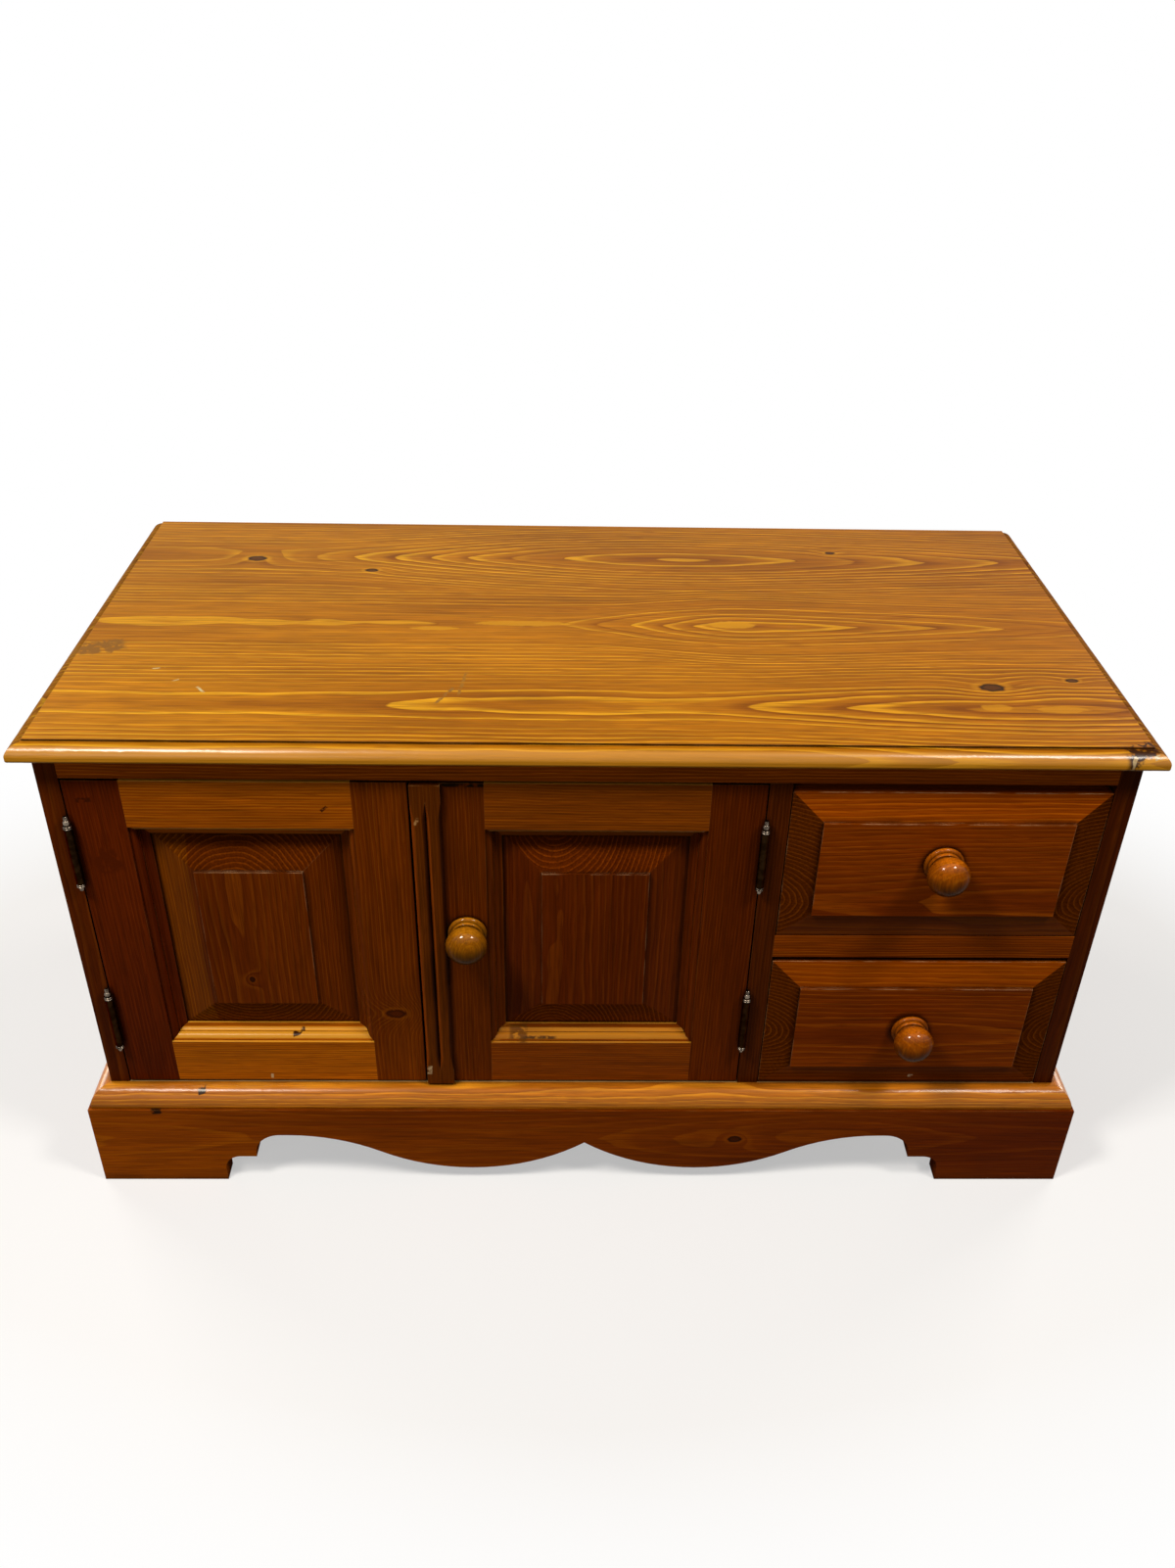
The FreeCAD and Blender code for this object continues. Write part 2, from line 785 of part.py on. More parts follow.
def on_rim(middle, left, right, name):
    if name.endswith("stile"):
        return min(abs(middle.x - left), abs(middle.x - right)) < arris
    return min(abs(middle.z - door_bottom), abs(middle.z - door_top)) < arris


def door_tenon(x0, x1, z0, z1):
    y0 = (door_thick - tenon_thick) / 2
    return box(x0 - tenon_length, x1 + tenon_length, y0, y0 + tenon_thick, z0 + tenon_inset, z1 - tenon_inset)


# Knobs are turned about an axis along Y, with their back on the plane Y = y.
def knob(x, y, z, screw_cut):
    steps = [
        line((knob_base_radius - knob_cove, 0)),
        turn((knob_base_radius, 0), (knob_base_radius, knob_base_thick / 2)),
        turn((knob_base_radius, knob_base_thick), (knob_collar_radius, knob_base_thick)),
        turn((knob_collar_radius, knob_collar_end), (knob_neck_radius + knob_cove, knob_collar_end)),
        turn((knob_neck_radius, knob_collar_end), (knob_neck_radius, (knob_collar_end + knob_neck_end) / 2)),
        turn((knob_neck_radius, knob_neck_end), (knob_neck_radius + knob_cove, knob_neck_end)),
        turn((knob_radius, knob_neck_end), (knob_radius, knob_widest)),
        turn((knob_radius, knob_length), (0, knob_length)),
    ]
    face = outline_face(lambda r, out: vec(r, -out, 0), (0, 0), steps)
    turned = face.revolve(vec(0, 0, 0), vec(0, 1, 0), 360)
    return turned.translated(vec(x, y, z)).cut(screw_cut)


# A round-headed screw from behind a board of a given thickness into the knob in front of it.
def knob_screw(x, y_back, z, board, grow):
    start = vec(x, y_back, z)
    length = board + knob_screw_grip + grow
    shank = Part.makeCylinder(knob_screw_radius + grow, length, start, vec(0, -1, 0))
    if grow:
        return shank
    head = Part.makeCylinder(knob_screw_head, knob_screw_head_height, start, vec(0, 1, 0))
    return joined(shank, head)


# The strip between the doors: a tongue beside the right door and a reeded head that laps its face.
def valley_section(half, depth, z):
    crown = strip_crown_share * depth
    left = vec(-half, 0, z)
    right = vec(half, 0, z)
    low = vec(0, depth, z)
    bulge = vec(crown / 2, -crown / 2, 0)
    first = Part.Arc(left, (left + low) / 2 + bulge, low).toShape()
    second = Part.Arc(low, (right + low) / 2 + vec(-bulge.x, bulge.y, 0), right).toShape()
    return Part.Wire([first, second, Part.LineSegment(right, left).toShape()])


def shoulder_section(width, z):
    crown = strip_crown_share * width
    start = vec(width, 0, z)
    end = vec(0, width, z)
    middle = (start + end) / 2 - vec(crown / 2, crown / 2, 0)
    corner = vec(0, 0, z)
    lines = [Part.LineSegment(end, corner).toShape(), Part.LineSegment(corner, start).toShape()]
    return Part.Wire([Part.Arc(start, middle, end).toShape()] + lines)


def tapered_cut(section, z0, z1):
    low = Part.Vertex(vec(0, 0, z0))
    high = Part.Vertex(vec(0, 0, z1))
    wires = [section(z0 + strip_taper), section(z1 - strip_taper)]
    return Part.makeLoft([low] + wires + [high], True, True)


def make_strip():
    tongue = box(strip_left, right_door_left, 0, door_thick, door_bottom, door_top)
    head = box(strip_left, strip_right, -strip_proud, 0, door_bottom, door_top)
    z0 = door_bottom + strip_block
    z1 = door_top - strip_block
    valley = tapered_cut(lambda z: valley_section(strip_valley, strip_valley_depth, z), z0, z1)
    valley = valley.translated(vec((strip_left + strip_right) / 2, -strip_proud, 0))
    shoulder = tapered_cut(lambda z: shoulder_section(strip_shoulder, z), z0, z1)
    other = mirrored(shoulder).translated(vec(strip_right, -strip_proud, 0))
    shoulder = shoulder.translated(vec(strip_left, -strip_proud, 0))
    save("meeting_strip", joined(tongue, head).cut([valley, shoulder, other]))


def make_doors():
    pieces = door_pieces(left_door_left, left_door_right)
    hinge_stile = pieces["left_stile"].cut(leaf_cutters(left_pin_x, 1))
    save_door("left", pieces, hinge_stile, pieces["right_stile"])
    pieces = door_pieces(right_door_left, right_door_right)
    hinge_stile = pieces["right_stile"].cut(leaf_cutters(right_pin_x, -1))
    knob_x = (strip_right + right_door_left + stile_face) / 2
    knob_z = door_middle + door_knob_rise
    place = (knob_x, door_thick, knob_z, door_thick)
    meeting = pieces["left_stile"].cut(knob_screw(*place, screw_fit))
    save_door("right", pieces, hinge_stile, meeting)
    save("right_door_knob", knob(knob_x, 0, knob_z, knob_screw(*place, screw_fit)))
    save("right_door_knob_screw", knob_screw(*place, 0))
    make_strip()


def save_door(side, pieces, hinge_stile, meeting_stile):
    save(side + "_door_hinge_stile", hinge_stile)
    save(side + "_door_meeting_stile", meeting_stile)
    for name in ("top_rail", "bottom_rail", "panel"):
        save(side + "_door_" + name, pieces[name])


def make_catches():
    catches = []
    for name, x in (("left", left_door_right - catch_set_in), ("right", right_door_left + catch_set_in)):
        y0 = door_thick + strike_thick + catch_air
        half = catch_width / 2
        body = box(x - half, x + half, y0, y0 + catch_depth, under_rail - catch_height, under_rail)
        half = strike_width / 2
        slot_z = under_rail - (catch_height + catch_slot) / 2
        slot = box(x - half, x + half, y0, y0 + catch_slot, slot_z, slot_z + catch_slot)
        catches.append(body.cut(slot))
        high = door_top - strike_drop
        strike = box(x - half, x + half, door_thick, door_thick + strike_thick, high - strike_height, high)
        save(name + "_strike_plate", strike)
    save("magnet_catches", *catches)


# One drawer whose sides run just above a given height.
def drawer_side(x0, base):
    x1 = x0 + drawer_side_thick
    z0 = base + run_clear
    root_y = drawer_front_thick
    tip_y = drawer_front_thick - dovetail_length
    side = box(x0, x1, root_y, drawer_length, z0, z0 + drawer_side_height)
    pitch = drawer_side_height / dovetail_count
    tails = []
    for index in range(dovetail_count):
        middle = z0 + (index + 1 / 2) * pitch
        tip = dovetail_tip_share * pitch / 2
        root = dovetail_root_share * pitch / 2
        lower = [(tip_y, middle - tip), (root_y, middle - root)]
        upper = [(root_y, middle + root), (tip_y, middle + tip)]
        tails.append(along_x(polygon(in_yz, lower + upper), x0, x1))
    return joined(side, *tails)


def drawer_front(base):
    z0 = base + drawer_front_lift
    z1 = z0 + drawer_front_height
    board = box(drawer_left, drawer_right, 0, drawer_front_thick, z0, z1)
    rect = (drawer_left, drawer_right, z0, z1)
    raised = raised_field(rect, 0, -drawer_bevel_rise, drawer_bevel, -drawer_field_proud)
    return joined(board, *raised)


def make_drawer(name, base, knob_rise):
    z0 = base + run_clear
    left_in = drawer_left + drawer_side_thick
    right_in = drawer_right - drawer_side_thick
    left = drawer_side(drawer_left, base)
    right = drawer_side(right_in, base)
    bottom_z = z0 + drawer_bottom_rise
    bottom_top = bottom_z + drawer_bottom_thick
    deep = drawer_bottom_groove
    groove = box(left_in - deep, right_in + deep, drawer_front_thick - deep, drawer_length + overrun,
                 bottom_z, bottom_top + 2 * drawer_bottom_fit)
    reach = deep - drawer_bottom_play
    bottom = box(left_in - reach, right_in + reach, drawer_front_thick - reach, drawer_length,
                 bottom_z + drawer_bottom_fit, bottom_top + drawer_bottom_fit)
    back_y = drawer_length - drawer_back_inset - drawer_back_thick
    back_x = (left_in - drawer_back_housing, right_in + drawer_back_housing)
    back_z = (bottom_top + 2 * drawer_bottom_fit, z0 + drawer_side_height - drawer_back_drop)
    back = box(*back_x, back_y, back_y + drawer_back_thick, *back_z)
    knob_z = base + drawer_front_lift + drawer_front_height / 2 + knob_rise
    board = drawer_front_thick + drawer_field_proud
    place = (drawer_middle, drawer_front_thick, knob_z, board)
    hole = knob_screw(*place, screw_fit)
    save(name + "_front", drawer_front(base).cut([left, right]).cut([groove, hole]))
    save(name + "_left_side", left.cut([groove, back]))
    save(name + "_right_side", right.cut([groove, back]))
    save(name + "_back", back)
    save(name + "_bottom", bottom)
    save(name + "_knob", knob(drawer_middle, -drawer_field_proud, knob_z, hole))
    save(name + "_knob_screw", knob_screw(*place, 0))


# Runners under the upper drawer, kickers over it, and stops behind both fronts.
def make_drawer_supports():
    ends = (drawer_rail_depth, inner_depth)
    low = upper_floor - runner_height
    left = box(divider_right, divider_right + runner_width, *ends, low, upper_floor)
    right = box(side_in - runner_width, side_in, *ends, low, upper_floor)
    save("drawer_runners", left, right)
    low = upper_floor + run_clear + drawer_side_height + kicker_clear
    left = box(divider_right, divider_right + kicker_width, *ends, low, under_rail)
    right = box(side_in - kicker_width, side_in, *ends, low, under_rail)
    save("drawer_kickers", left, right)
    stops = []
    y0 = drawer_front_thick + run_clear
    for base in (floor_z, upper_floor):
        for share in stop_shares:
            x = divider_right + share * (side_in - divider_right) - stop_length / 2
            stops.append(box(x, x + stop_length, y0, y0 + stop_width, base, base + stop_height))
    save("drawer_stops", *stops)


os.makedirs("parts", exist_ok=True)
make_top()
make_rails()
make_sides()
make_inside_boards()
make_plinth()
make_hinges()
make_doors()
make_catches()
make_drawer("lower_drawer", floor_z, lower_knob_rise)
make_drawer("upper_drawer", upper_floor, upper_knob_rise)
make_drawer_supports()
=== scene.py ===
import bpy
import json
import math
from mathutils import Matrix, Vector


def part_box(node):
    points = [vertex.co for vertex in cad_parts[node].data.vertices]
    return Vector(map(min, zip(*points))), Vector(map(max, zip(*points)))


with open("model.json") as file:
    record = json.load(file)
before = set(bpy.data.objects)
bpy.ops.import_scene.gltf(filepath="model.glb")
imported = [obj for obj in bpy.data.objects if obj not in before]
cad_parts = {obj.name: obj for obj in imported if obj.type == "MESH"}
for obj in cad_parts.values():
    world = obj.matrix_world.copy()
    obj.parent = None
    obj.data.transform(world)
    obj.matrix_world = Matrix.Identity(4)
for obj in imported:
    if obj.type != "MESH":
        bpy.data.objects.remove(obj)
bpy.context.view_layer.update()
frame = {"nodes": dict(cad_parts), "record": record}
nodes = frame["nodes"]
axisNames = "xyz"
print("frame loaded,", len(nodes), "nodes")


def feed(tree, socket, value):  # links another socket, or sets a plain value
    if isinstance(value, bpy.types.NodeSocket):
        tree.links.new(value, socket)
    else:
        socket.default_value = value


def addNode(tree, kind, inputs=None, **settings):
    node = tree.nodes.new(kind)
    for key, value in settings.items():
        setattr(node, key, value)
    for key, value in (inputs or {}).items():
        feed(tree, node.inputs[key], value)
    return node


def addGroup(tree, group, inputs):
    return addNode(tree, "ShaderNodeGroup", inputs, node_tree=group).outputs


def calc(tree, operation, *terms):
    return addNode(tree, "ShaderNodeMath", dict(enumerate(terms)), operation=operation).outputs[0]


def centred(tree, noise):  # from a middle of a half to a middle of nought
    return calc(tree, "SUBTRACT", noise, 0.5)


def distance(tree, first, second):
    firstSquare = calc(tree, "MULTIPLY", first, first)
    secondSquare = calc(tree, "MULTIPLY", second, second)
    return calc(tree, "SQRT", calc(tree, "ADD", firstSquare, secondSquare))


def addUp(tree, values):
    total = values[0]
    for value in values[1:]:
        total = calc(tree, "ADD", total, value)
    return total


def timesEach(tree, first, second):  # vectors or colours, part by part
    return addNode(tree, "ShaderNodeVectorMath", {0: first, 1: second}, operation="MULTIPLY").outputs[0]


def scaled(tree, vector, scale):
    inputs = {0: vector, "Scale": scale}
    return addNode(tree, "ShaderNodeVectorMath", inputs, operation="SCALE").outputs[0]


def dotOf(tree, first, second):
    inputs = {0: first, 1: second}
    return addNode(tree, "ShaderNodeVectorMath", inputs, operation="DOT_PRODUCT").outputs["Value"]


def splitUp(tree, vector):
    return addNode(tree, "ShaderNodeSeparateXYZ", {0: vector}).outputs


def fade(tree, value, low, high):  # smooth rise from 0 at low to 1 at high
    inputs = {"Value": value, "From Min": low, "From Max": high}
    return addNode(tree, "ShaderNodeMapRange", inputs, interpolation_type="SMOOTHSTEP").outputs[0]


def blendColour(tree, factor, first, second):
    inputs = {0: factor, 6: first, 7: second}
    return addNode(tree, "ShaderNodeMix", inputs, data_type="RGBA").outputs[2]


def clouds(tree, vector, size):  # size is a scale and the detail
    scale, detail = size
    inputs = {"Vector": vector, "Scale": scale, "Detail": detail}
    return addNode(tree, "ShaderNodeTexNoise", inputs).outputs[0]


# Noise drawn out along the grain. Its size is a scale along, a scale across and the detail.
def streaks(tree, vector, seed, size):
    along, across, detail = size
    stretched = timesEach(tree, vector, (along, across, across))
    inputs = {"Vector": stretched, "W": seed, "Scale": 1.0, "Detail": detail}
    return addNode(tree, "ShaderNodeTexNoise", inputs, noise_dimensions="4D").outputs


def newGroup(name, inputs, outputs):  # sockets are listed by kind
    group = bpy.data.node_groups.new(name, "ShaderNodeTree")
    for way, sockets in (("INPUT", inputs), ("OUTPUT", outputs)):
        for kind, labels in sockets.items():
            for label in labels:
                group.interface.new_socket(label, in_out=way, socket_type="NodeSocket" + kind)
    return group, group.nodes.new("NodeGroupInput").outputs, group.nodes.new("NodeGroupOutput").inputs


# Growth rings round a pith that wanders along each plank. The vector runs along, across, into the board.
grainLook = {
    "plankSeed": 7.3, "yearSeed": 3.7,  # keep planks and years apart
    "drift": (2.4, 1.5, 1.0), "swing": 4.0, "acrossSwing": 0.5,  # how the pith wanders
    "ripple": (9.0, 42.0, 2.0), "rippleSize": 0.006,
    "figure": (0.002, 0.014),  # lift at which lines get clearer, round knots and in arches
    "bandRise": (0.55, 0.88), "bandFall": (0.99, 0.95),  # pale band and dark rim, in shares of a ring
    "rimRise": (0.94, 0.99), "rimFall": (0.4, 0.0), "rim": 0.9,
    "fibre": (26.0, 760.0, 3.0), "streak": (10.0, 380.0, 3.0), "shade": (1.1, -0.1),
    "pore": (40.0, 640.0, 1.0), "poreRange": (0.56, 0.7), "poreShare": 0.5,
    "tone": (2.2, 11.0, 3.0), "toneRange": (0.22, 0.62), "lineHeight": 0.6,
}


def buildPineGrain():
    numbers = ["Pith Across", "Pith Depth", "Ring", "Wander", "Plank", "Plank Start", "Seed", "Lift",
               "Line", "Faint", "Fine"]
    inputs = {"Vector": ["Vector"], "Float": numbers, "Color": ["Dark", "Mid", "Light"]}
    outputs = {"Color": ["Color"], "Float": ["Height", "Fibre", "Band"]}
    tree, get, put = newGroup("pineGrain", inputs, outputs)
    vector = get["Vector"]
    split = splitUp(tree, vector)
    place = calc(tree, "DIVIDE", calc(tree, "SUBTRACT", split["Y"], get["Plank Start"]), get["Plank"])
    index = calc(tree, "FLOOR", place)
    inPlank = centred(tree, calc(tree, "SUBTRACT", place, index))
    across = calc(tree, "MULTIPLY", inPlank, get["Plank"])
    seed = calc(tree, "MULTIPLY_ADD", index, grainLook["plankSeed"], get["Seed"])

    drift = streaks(tree, vector, seed, grainLook["drift"])["Color"]
    drift = addNode(tree, "ShaderNodeSeparateColor", {0: drift}).outputs
    swing = calc(tree, "MULTIPLY", get["Wander"], grainLook["swing"])
    acrossSwing = calc(tree, "MULTIPLY", swing, grainLook["acrossSwing"])
    driftAcross = calc(tree, "MULTIPLY", centred(tree, drift[0]), acrossSwing)
    driftDepth = calc(tree, "MULTIPLY", centred(tree, drift[1]), swing)
    besidePith = calc(tree, "SUBTRACT", calc(tree, "SUBTRACT", across, get["Pith Across"]), driftAcross)
    behindPith = calc(tree, "SUBTRACT", calc(tree, "SUBTRACT", split["Z"], get["Pith Depth"]), driftDepth)
    ripple = centred(tree, streaks(tree, vector, seed, grainLook["ripple"])[0])
    ripple = calc(tree, "MULTIPLY", ripple, grainLook["rippleSize"])
    radius = calc(tree, "ADD", distance(tree, besidePith, behindPith), get["Lift"])
    radius = calc(tree, "ADD", radius, ripple)

    turns = calc(tree, "DIVIDE", radius, get["Ring"])
    year = calc(tree, "FLOOR", turns)
    part = calc(tree, "SUBTRACT", turns, year)
    draw = calc(tree, "MULTIPLY_ADD", seed, grainLook["yearSeed"], year)
    chance = addNode(tree, "ShaderNodeTexWhiteNoise", {"W": draw}, noise_dimensions="1D").outputs[0]
    chance = calc(tree, "MULTIPLY_ADD", chance, calc(tree, "SUBTRACT", 1.0, get["Faint"]), get["Faint"])
    figure = fade(tree, calc(tree, "ABSOLUTE", get["Lift"]), *grainLook["figure"])
    strength = calc(tree, "MULTIPLY", get["Line"], calc(tree, "ADD", figure, 1.0))
    strength = calc(tree, "MULTIPLY", chance, strength)
    bandFall = fade(tree, part, *grainLook["bandFall"])
    band = calc(tree, "MULTIPLY", fade(tree, part, *grainLook["bandRise"]), bandFall)
    line = calc(tree, "MULTIPLY", band, strength)
    rimFall = fade(tree, part, *grainLook["rimFall"])
    rim = calc(tree, "MAXIMUM", fade(tree, part, *grainLook["rimRise"]), rimFall)
    rim = calc(tree, "MULTIPLY", calc(tree, "MULTIPLY", rim, strength), grainLook["rim"])

    fibre = streaks(tree, vector, seed, grainLook["fibre"])[0]
    fine = scaled(tree, vector, get["Fine"])
    streak = streaks(tree, fine, seed, grainLook["streak"])[0]
    pore = fade(tree, streaks(tree, fine, seed, grainLook["pore"])[0], *grainLook["poreRange"])
    pore = calc(tree, "MULTIPLY", pore, grainLook["poreShare"])
    tone = fade(tree, streaks(tree, vector, seed, grainLook["tone"])[0], *grainLook["toneRange"])
    colour = blendColour(tree, tone, get["Dark"], get["Mid"])
    colour = blendColour(tree, rim, colour, get["Dark"])
    colour = blendColour(tree, line, colour, get["Light"])
    shade = calc(tree, "MULTIPLY_ADD", calc(tree, "ADD", fibre, streak), *grainLook["shade"])
    colour = blendColour(tree, pore, scaled(tree, colour, shade), get["Dark"])
    height = calc(tree, "SUBTRACT", fibre, pore)
    feed(tree, put["Color"], colour)
    feed(tree, put["Height"], calc(tree, "MULTIPLY_ADD", line, grainLook["lineHeight"], height))
    feed(tree, put["Fibre"], fibre)
    feed(tree, put["Band"], band)
    return tree


# A knot or an eye in the grain pushes the rings round it. A knot has a dark core with a paler collar.
knotLook = {
    "wobble": (110.0, 160.0, 2.0), "wobbleSeed": 3.0, "wobbleSize": 0.6,
    "push": 2.8, "core": (1.0, 0.75), "heart": (0.8, 0.35),  # in radii of the knot
    "collarIn": (0.95, 1.1), "collarOut": (1.65, 1.2),
}


def buildKnotSpot():
    inputs = {"Vector": ["Vector"], "Float": ["Along", "Across", "Radius", "Stretch", "Swirl"]}
    tree, get, put = newGroup("knotSpot", inputs, {"Float": ["Lift", "Core", "Heart", "Collar"]})
    split = splitUp(tree, get["Vector"])
    along = calc(tree, "MULTIPLY", calc(tree, "SUBTRACT", split["X"], get["Along"]), get["Stretch"])
    across = calc(tree, "SUBTRACT", split["Y"], get["Across"])
    reach = calc(tree, "DIVIDE", distance(tree, along, across), get["Radius"])
    wobble = streaks(tree, get["Vector"], knotLook["wobbleSeed"], knotLook["wobble"])[0]
    edge = calc(tree, "MULTIPLY_ADD", centred(tree, wobble), knotLook["wobbleSize"], reach)
    near = calc(tree, "DIVIDE", reach, knotLook["push"])
    bump = calc(tree, "EXPONENT", calc(tree, "MULTIPLY", calc(tree, "MULTIPLY", near, near), -1.0))
    collarOut = fade(tree, edge, *knotLook["collarOut"])
    collar = calc(tree, "MULTIPLY", fade(tree, edge, *knotLook["collarIn"]), collarOut)
    feed(tree, put["Lift"], calc(tree, "MULTIPLY", bump, get["Swirl"]))
    feed(tree, put["Core"], fade(tree, edge, *knotLook["core"]))
    feed(tree, put["Heart"], fade(tree, edge, *knotLook["heart"]))
    feed(tree, put["Collar"], collar)
    return tree


# Nested arches, where the saw cuts along the rings of one plank.
archLook = {"softness": 0.004}  # metres of lift over which the last arch runs out


def buildArches():
    numbers = ["Along", "Across", "Half", "Round", "Slope", "Skew", "Pinch", "Depth"]
    tree, get, put = newGroup("arches", {"Vector": ["Vector"], "Float": numbers}, {"Float": ["Lift"]})
    split = splitUp(tree, get["Vector"])
    along = calc(tree, "SUBTRACT", split["X"], get["Along"])
    across = calc(tree, "ABSOLUTE", calc(tree, "SUBTRACT", split["Y"], get["Across"]))
    far = calc(tree, "MULTIPLY_ADD", along, along, calc(tree, "MULTIPLY", get["Round"], get["Round"]))
    fall = calc(tree, "MULTIPLY", calc(tree, "SQRT", far), get["Slope"])
    fall = calc(tree, "MULTIPLY_ADD", along, get["Skew"], fall)
    fall = calc(tree, "MULTIPLY_ADD", across, get["Pinch"], fall)
    rise = calc(tree, "SMOOTH_MAX", calc(tree, "SUBTRACT", get["Depth"], fall), 0.0, archLook["softness"])
    inside = calc(tree, "LESS_THAN", across, get["Half"])
    feed(tree, put["Lift"], calc(tree, "MULTIPLY", calc(tree, "MULTIPLY", rise, inside), -1.0))
    return tree


# How far the surface faces along one axis of the piece, either way and with its sign.
def buildFacing():
    tree, get, put = newGroup("facing", {"Vector": ["Axis"]}, {"Float": ["Share", "Signed"]})
    normal = addNode(tree, "ShaderNodeNewGeometry").outputs["Normal"]
    turned = addNode(tree, "ShaderNodeVectorTransform", {0: normal}, vector_type="NORMAL",
                     convert_from="WORLD", convert_to="OBJECT").outputs[0]
    turned = addNode(tree, "ShaderNodeVectorMath", {0: turned}, operation="NORMALIZE").outputs[0]
    signed = dotOf(tree, turned, get["Axis"])
    feed(tree, put["Share"], calc(tree, "ABSOLUTE", signed))
    feed(tree, put["Signed"], signed)
    return tree


# Paler arrises in patches, partly wood rubbed through and partly a painted highlight, most where they face
# up.
wearAndHighlightLook = {
    "samples": 4, "edge": (0.985, 0.8), "up": (-0.06, 0.1),
    "patch": (38.0, 4.0), "patchRange": (0.36, 0.66),
}


def buildWornEdge():
    inputs = {"Vector": ["Vector"], "Float": ["Radius"]}
    tree, get, put = newGroup("wornAndHighlitEdge", inputs, {"Float": ["Mask"]})
    radius = {"Radius": get["Radius"]}
    rounded = addNode(tree, "ShaderNodeBevel", radius, samples=wearAndHighlightLook["samples"]).outputs[0]
    flat = addNode(tree, "ShaderNodeNewGeometry").outputs["True Normal"]
    edge = fade(tree, dotOf(tree, rounded, flat), *wearAndHighlightLook["edge"])
    edge = calc(tree, "MULTIPLY", edge, fade(tree, splitUp(tree, rounded)["Z"], *wearAndHighlightLook["up"]))
    patch = fade(tree, clouds(tree, get["Vector"], wearAndHighlightLook["patch"]), *wearAndHighlightLook["patchRange"])
    feed(tree, put["Mask"], calc(tree, "MULTIPLY", edge, patch))
    return tree


# Painted shade where the surface is closed in by others, in quirks and corners, together with old wax and
# dust that lies dark there.
shadeAndGrimeLook = {"samples": 6, "cloud": (30.0, 3.0), "cloudShare": (0.9, 0.55), "start": 0.12}


def buildCornerGrime():
    inputs = {"Vector": ["Vector"], "Float": ["Reach", "Full"]}
    tree, get, put = newGroup("cornerShadeAndGrime", inputs, {"Float": ["Mask"]})
    reach = {"Distance": get["Reach"]}
    occlusion = addNode(tree, "ShaderNodeAmbientOcclusion", reach, samples=shadeAndGrimeLook["samples"])
    openness = occlusion.outputs["AO"]
    cloud = clouds(tree, get["Vector"], shadeAndGrimeLook["cloud"])
    cloud = calc(tree, "MULTIPLY_ADD", cloud, *shadeAndGrimeLook["cloudShare"])
    closed = calc(tree, "MULTIPLY", calc(tree, "SUBTRACT", 1.0, openness), cloud)
    feed(tree, put["Mask"], fade(tree, closed, shadeAndGrimeLook["start"], get["Full"]))
    return tree


# One mark, broken up along its length. It is turned from the grain by so many radians.
scratchLook = {"wave": (120.0, 2.0), "along": (0.5, 0.35), "across": (0.5, 0.3), "broken": (0.36, 0.5)}


def buildScratch():
    inputs = {"Vector": ["Vector"], "Float": ["Along", "Across", "Length", "Width", "Turn"]}
    tree, get, put = newGroup("scratch", inputs, {"Float": ["Mask"]})
    split = splitUp(tree, get["Vector"])
    offX = calc(tree, "SUBTRACT", split["X"], get["Along"])
    offY = calc(tree, "SUBTRACT", split["Y"], get["Across"])
    cosine = calc(tree, "COSINE", get["Turn"])
    sine = calc(tree, "SINE", get["Turn"])
    along = calc(tree, "MULTIPLY_ADD", offX, cosine, calc(tree, "MULTIPLY", offY, sine))
    across = calc(tree, "MULTIPLY", offY, cosine)
    across = calc(tree, "SUBTRACT", across, calc(tree, "MULTIPLY", offX, sine))
    wave = clouds(tree, get["Vector"], scratchLook["wave"])
    across = calc(tree, "ADD", across, calc(tree, "MULTIPLY", centred(tree, wave), get["Width"]))
    mask = fade(tree, wave, *scratchLook["broken"])
    for off, size, key in ((along, get["Length"], "along"), (across, get["Width"], "across")):
        share = calc(tree, "DIVIDE", calc(tree, "ABSOLUTE", off), size)
        mask = calc(tree, "MULTIPLY", mask, fade(tree, share, *scratchLook[key]))
    feed(tree, put["Mask"], mask)
    return tree


pineGrain = buildPineGrain()
knotSpot = buildKnotSpot()
arches = buildArches()
facing = buildFacing()
wornAndHighlitEdge = buildWornEdge()
cornerShadeAndGrime = buildCornerGrime()
scratch = buildScratch()
print("grain, knot, arch, facing, wear, grime and scratch groups built")

palest = 0.9  # no part of a colour is brighter


def rgba(colour, shares=(1.0, 1.0, 1.0)):
    return (*[min(part * share, palest) for part, share in zip(colour, shares)], 1.0)


def axisVector(axis):
    return tuple(1.0 if name == axis else 0.0 for name in axisNames)


def facingOf(tree, axis, output):
    return addGroup(tree, facing, {"Axis": axisVector(axis)})[output]


def spotOn(node, axis, share):  # a place on one axis as a share of the node's box
    low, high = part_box(node)
    index = axisNames.index(axis)
    return low[index] + share * (high[index] - low[index])


def putOn(node, material):
    for slot in nodes[node].material_slots:
        slot.material = material


# What a piece's own look leaves out. The shares are of its stain.
pineDefaults = {
    "darkShare": (0.58, 0.48, 0.4), "lightShare": (1.5, 1.95, 2.6), "line": 0.7, "faint": 0.4, "fine": 1.0,
    "planks": None, "face": 0.0, "deep": 1.0,
    "coreShare": (0.08, 0.1, 0.5), "heartShare": (0.24, 0.22, 0.8), "collar": 0.35,
    "endGrain": (0.42, 0.4, 0.4), "ends": 0.6, "endRoughness": 0.9,
    "shadeAndGrime": 0.8, "shadeAndGrimeFull": 0.6, "reach": 0.012,
    "wearAndHighlight": 0.5, "edge": 0.0016, "rubbedAndHighlit": (0.42, 0.2, 0.06),
    "roughness": 0.24, "bump": 0.25, "specular": 0.06, "sheen": (1.0, 0.55, 0.15),
    "coat": 0.0, "coatRoughness": 0.16,
    "knots": [], "eyes": [], "arches": [], "facingLightAndShade": [], "marks": [],
}
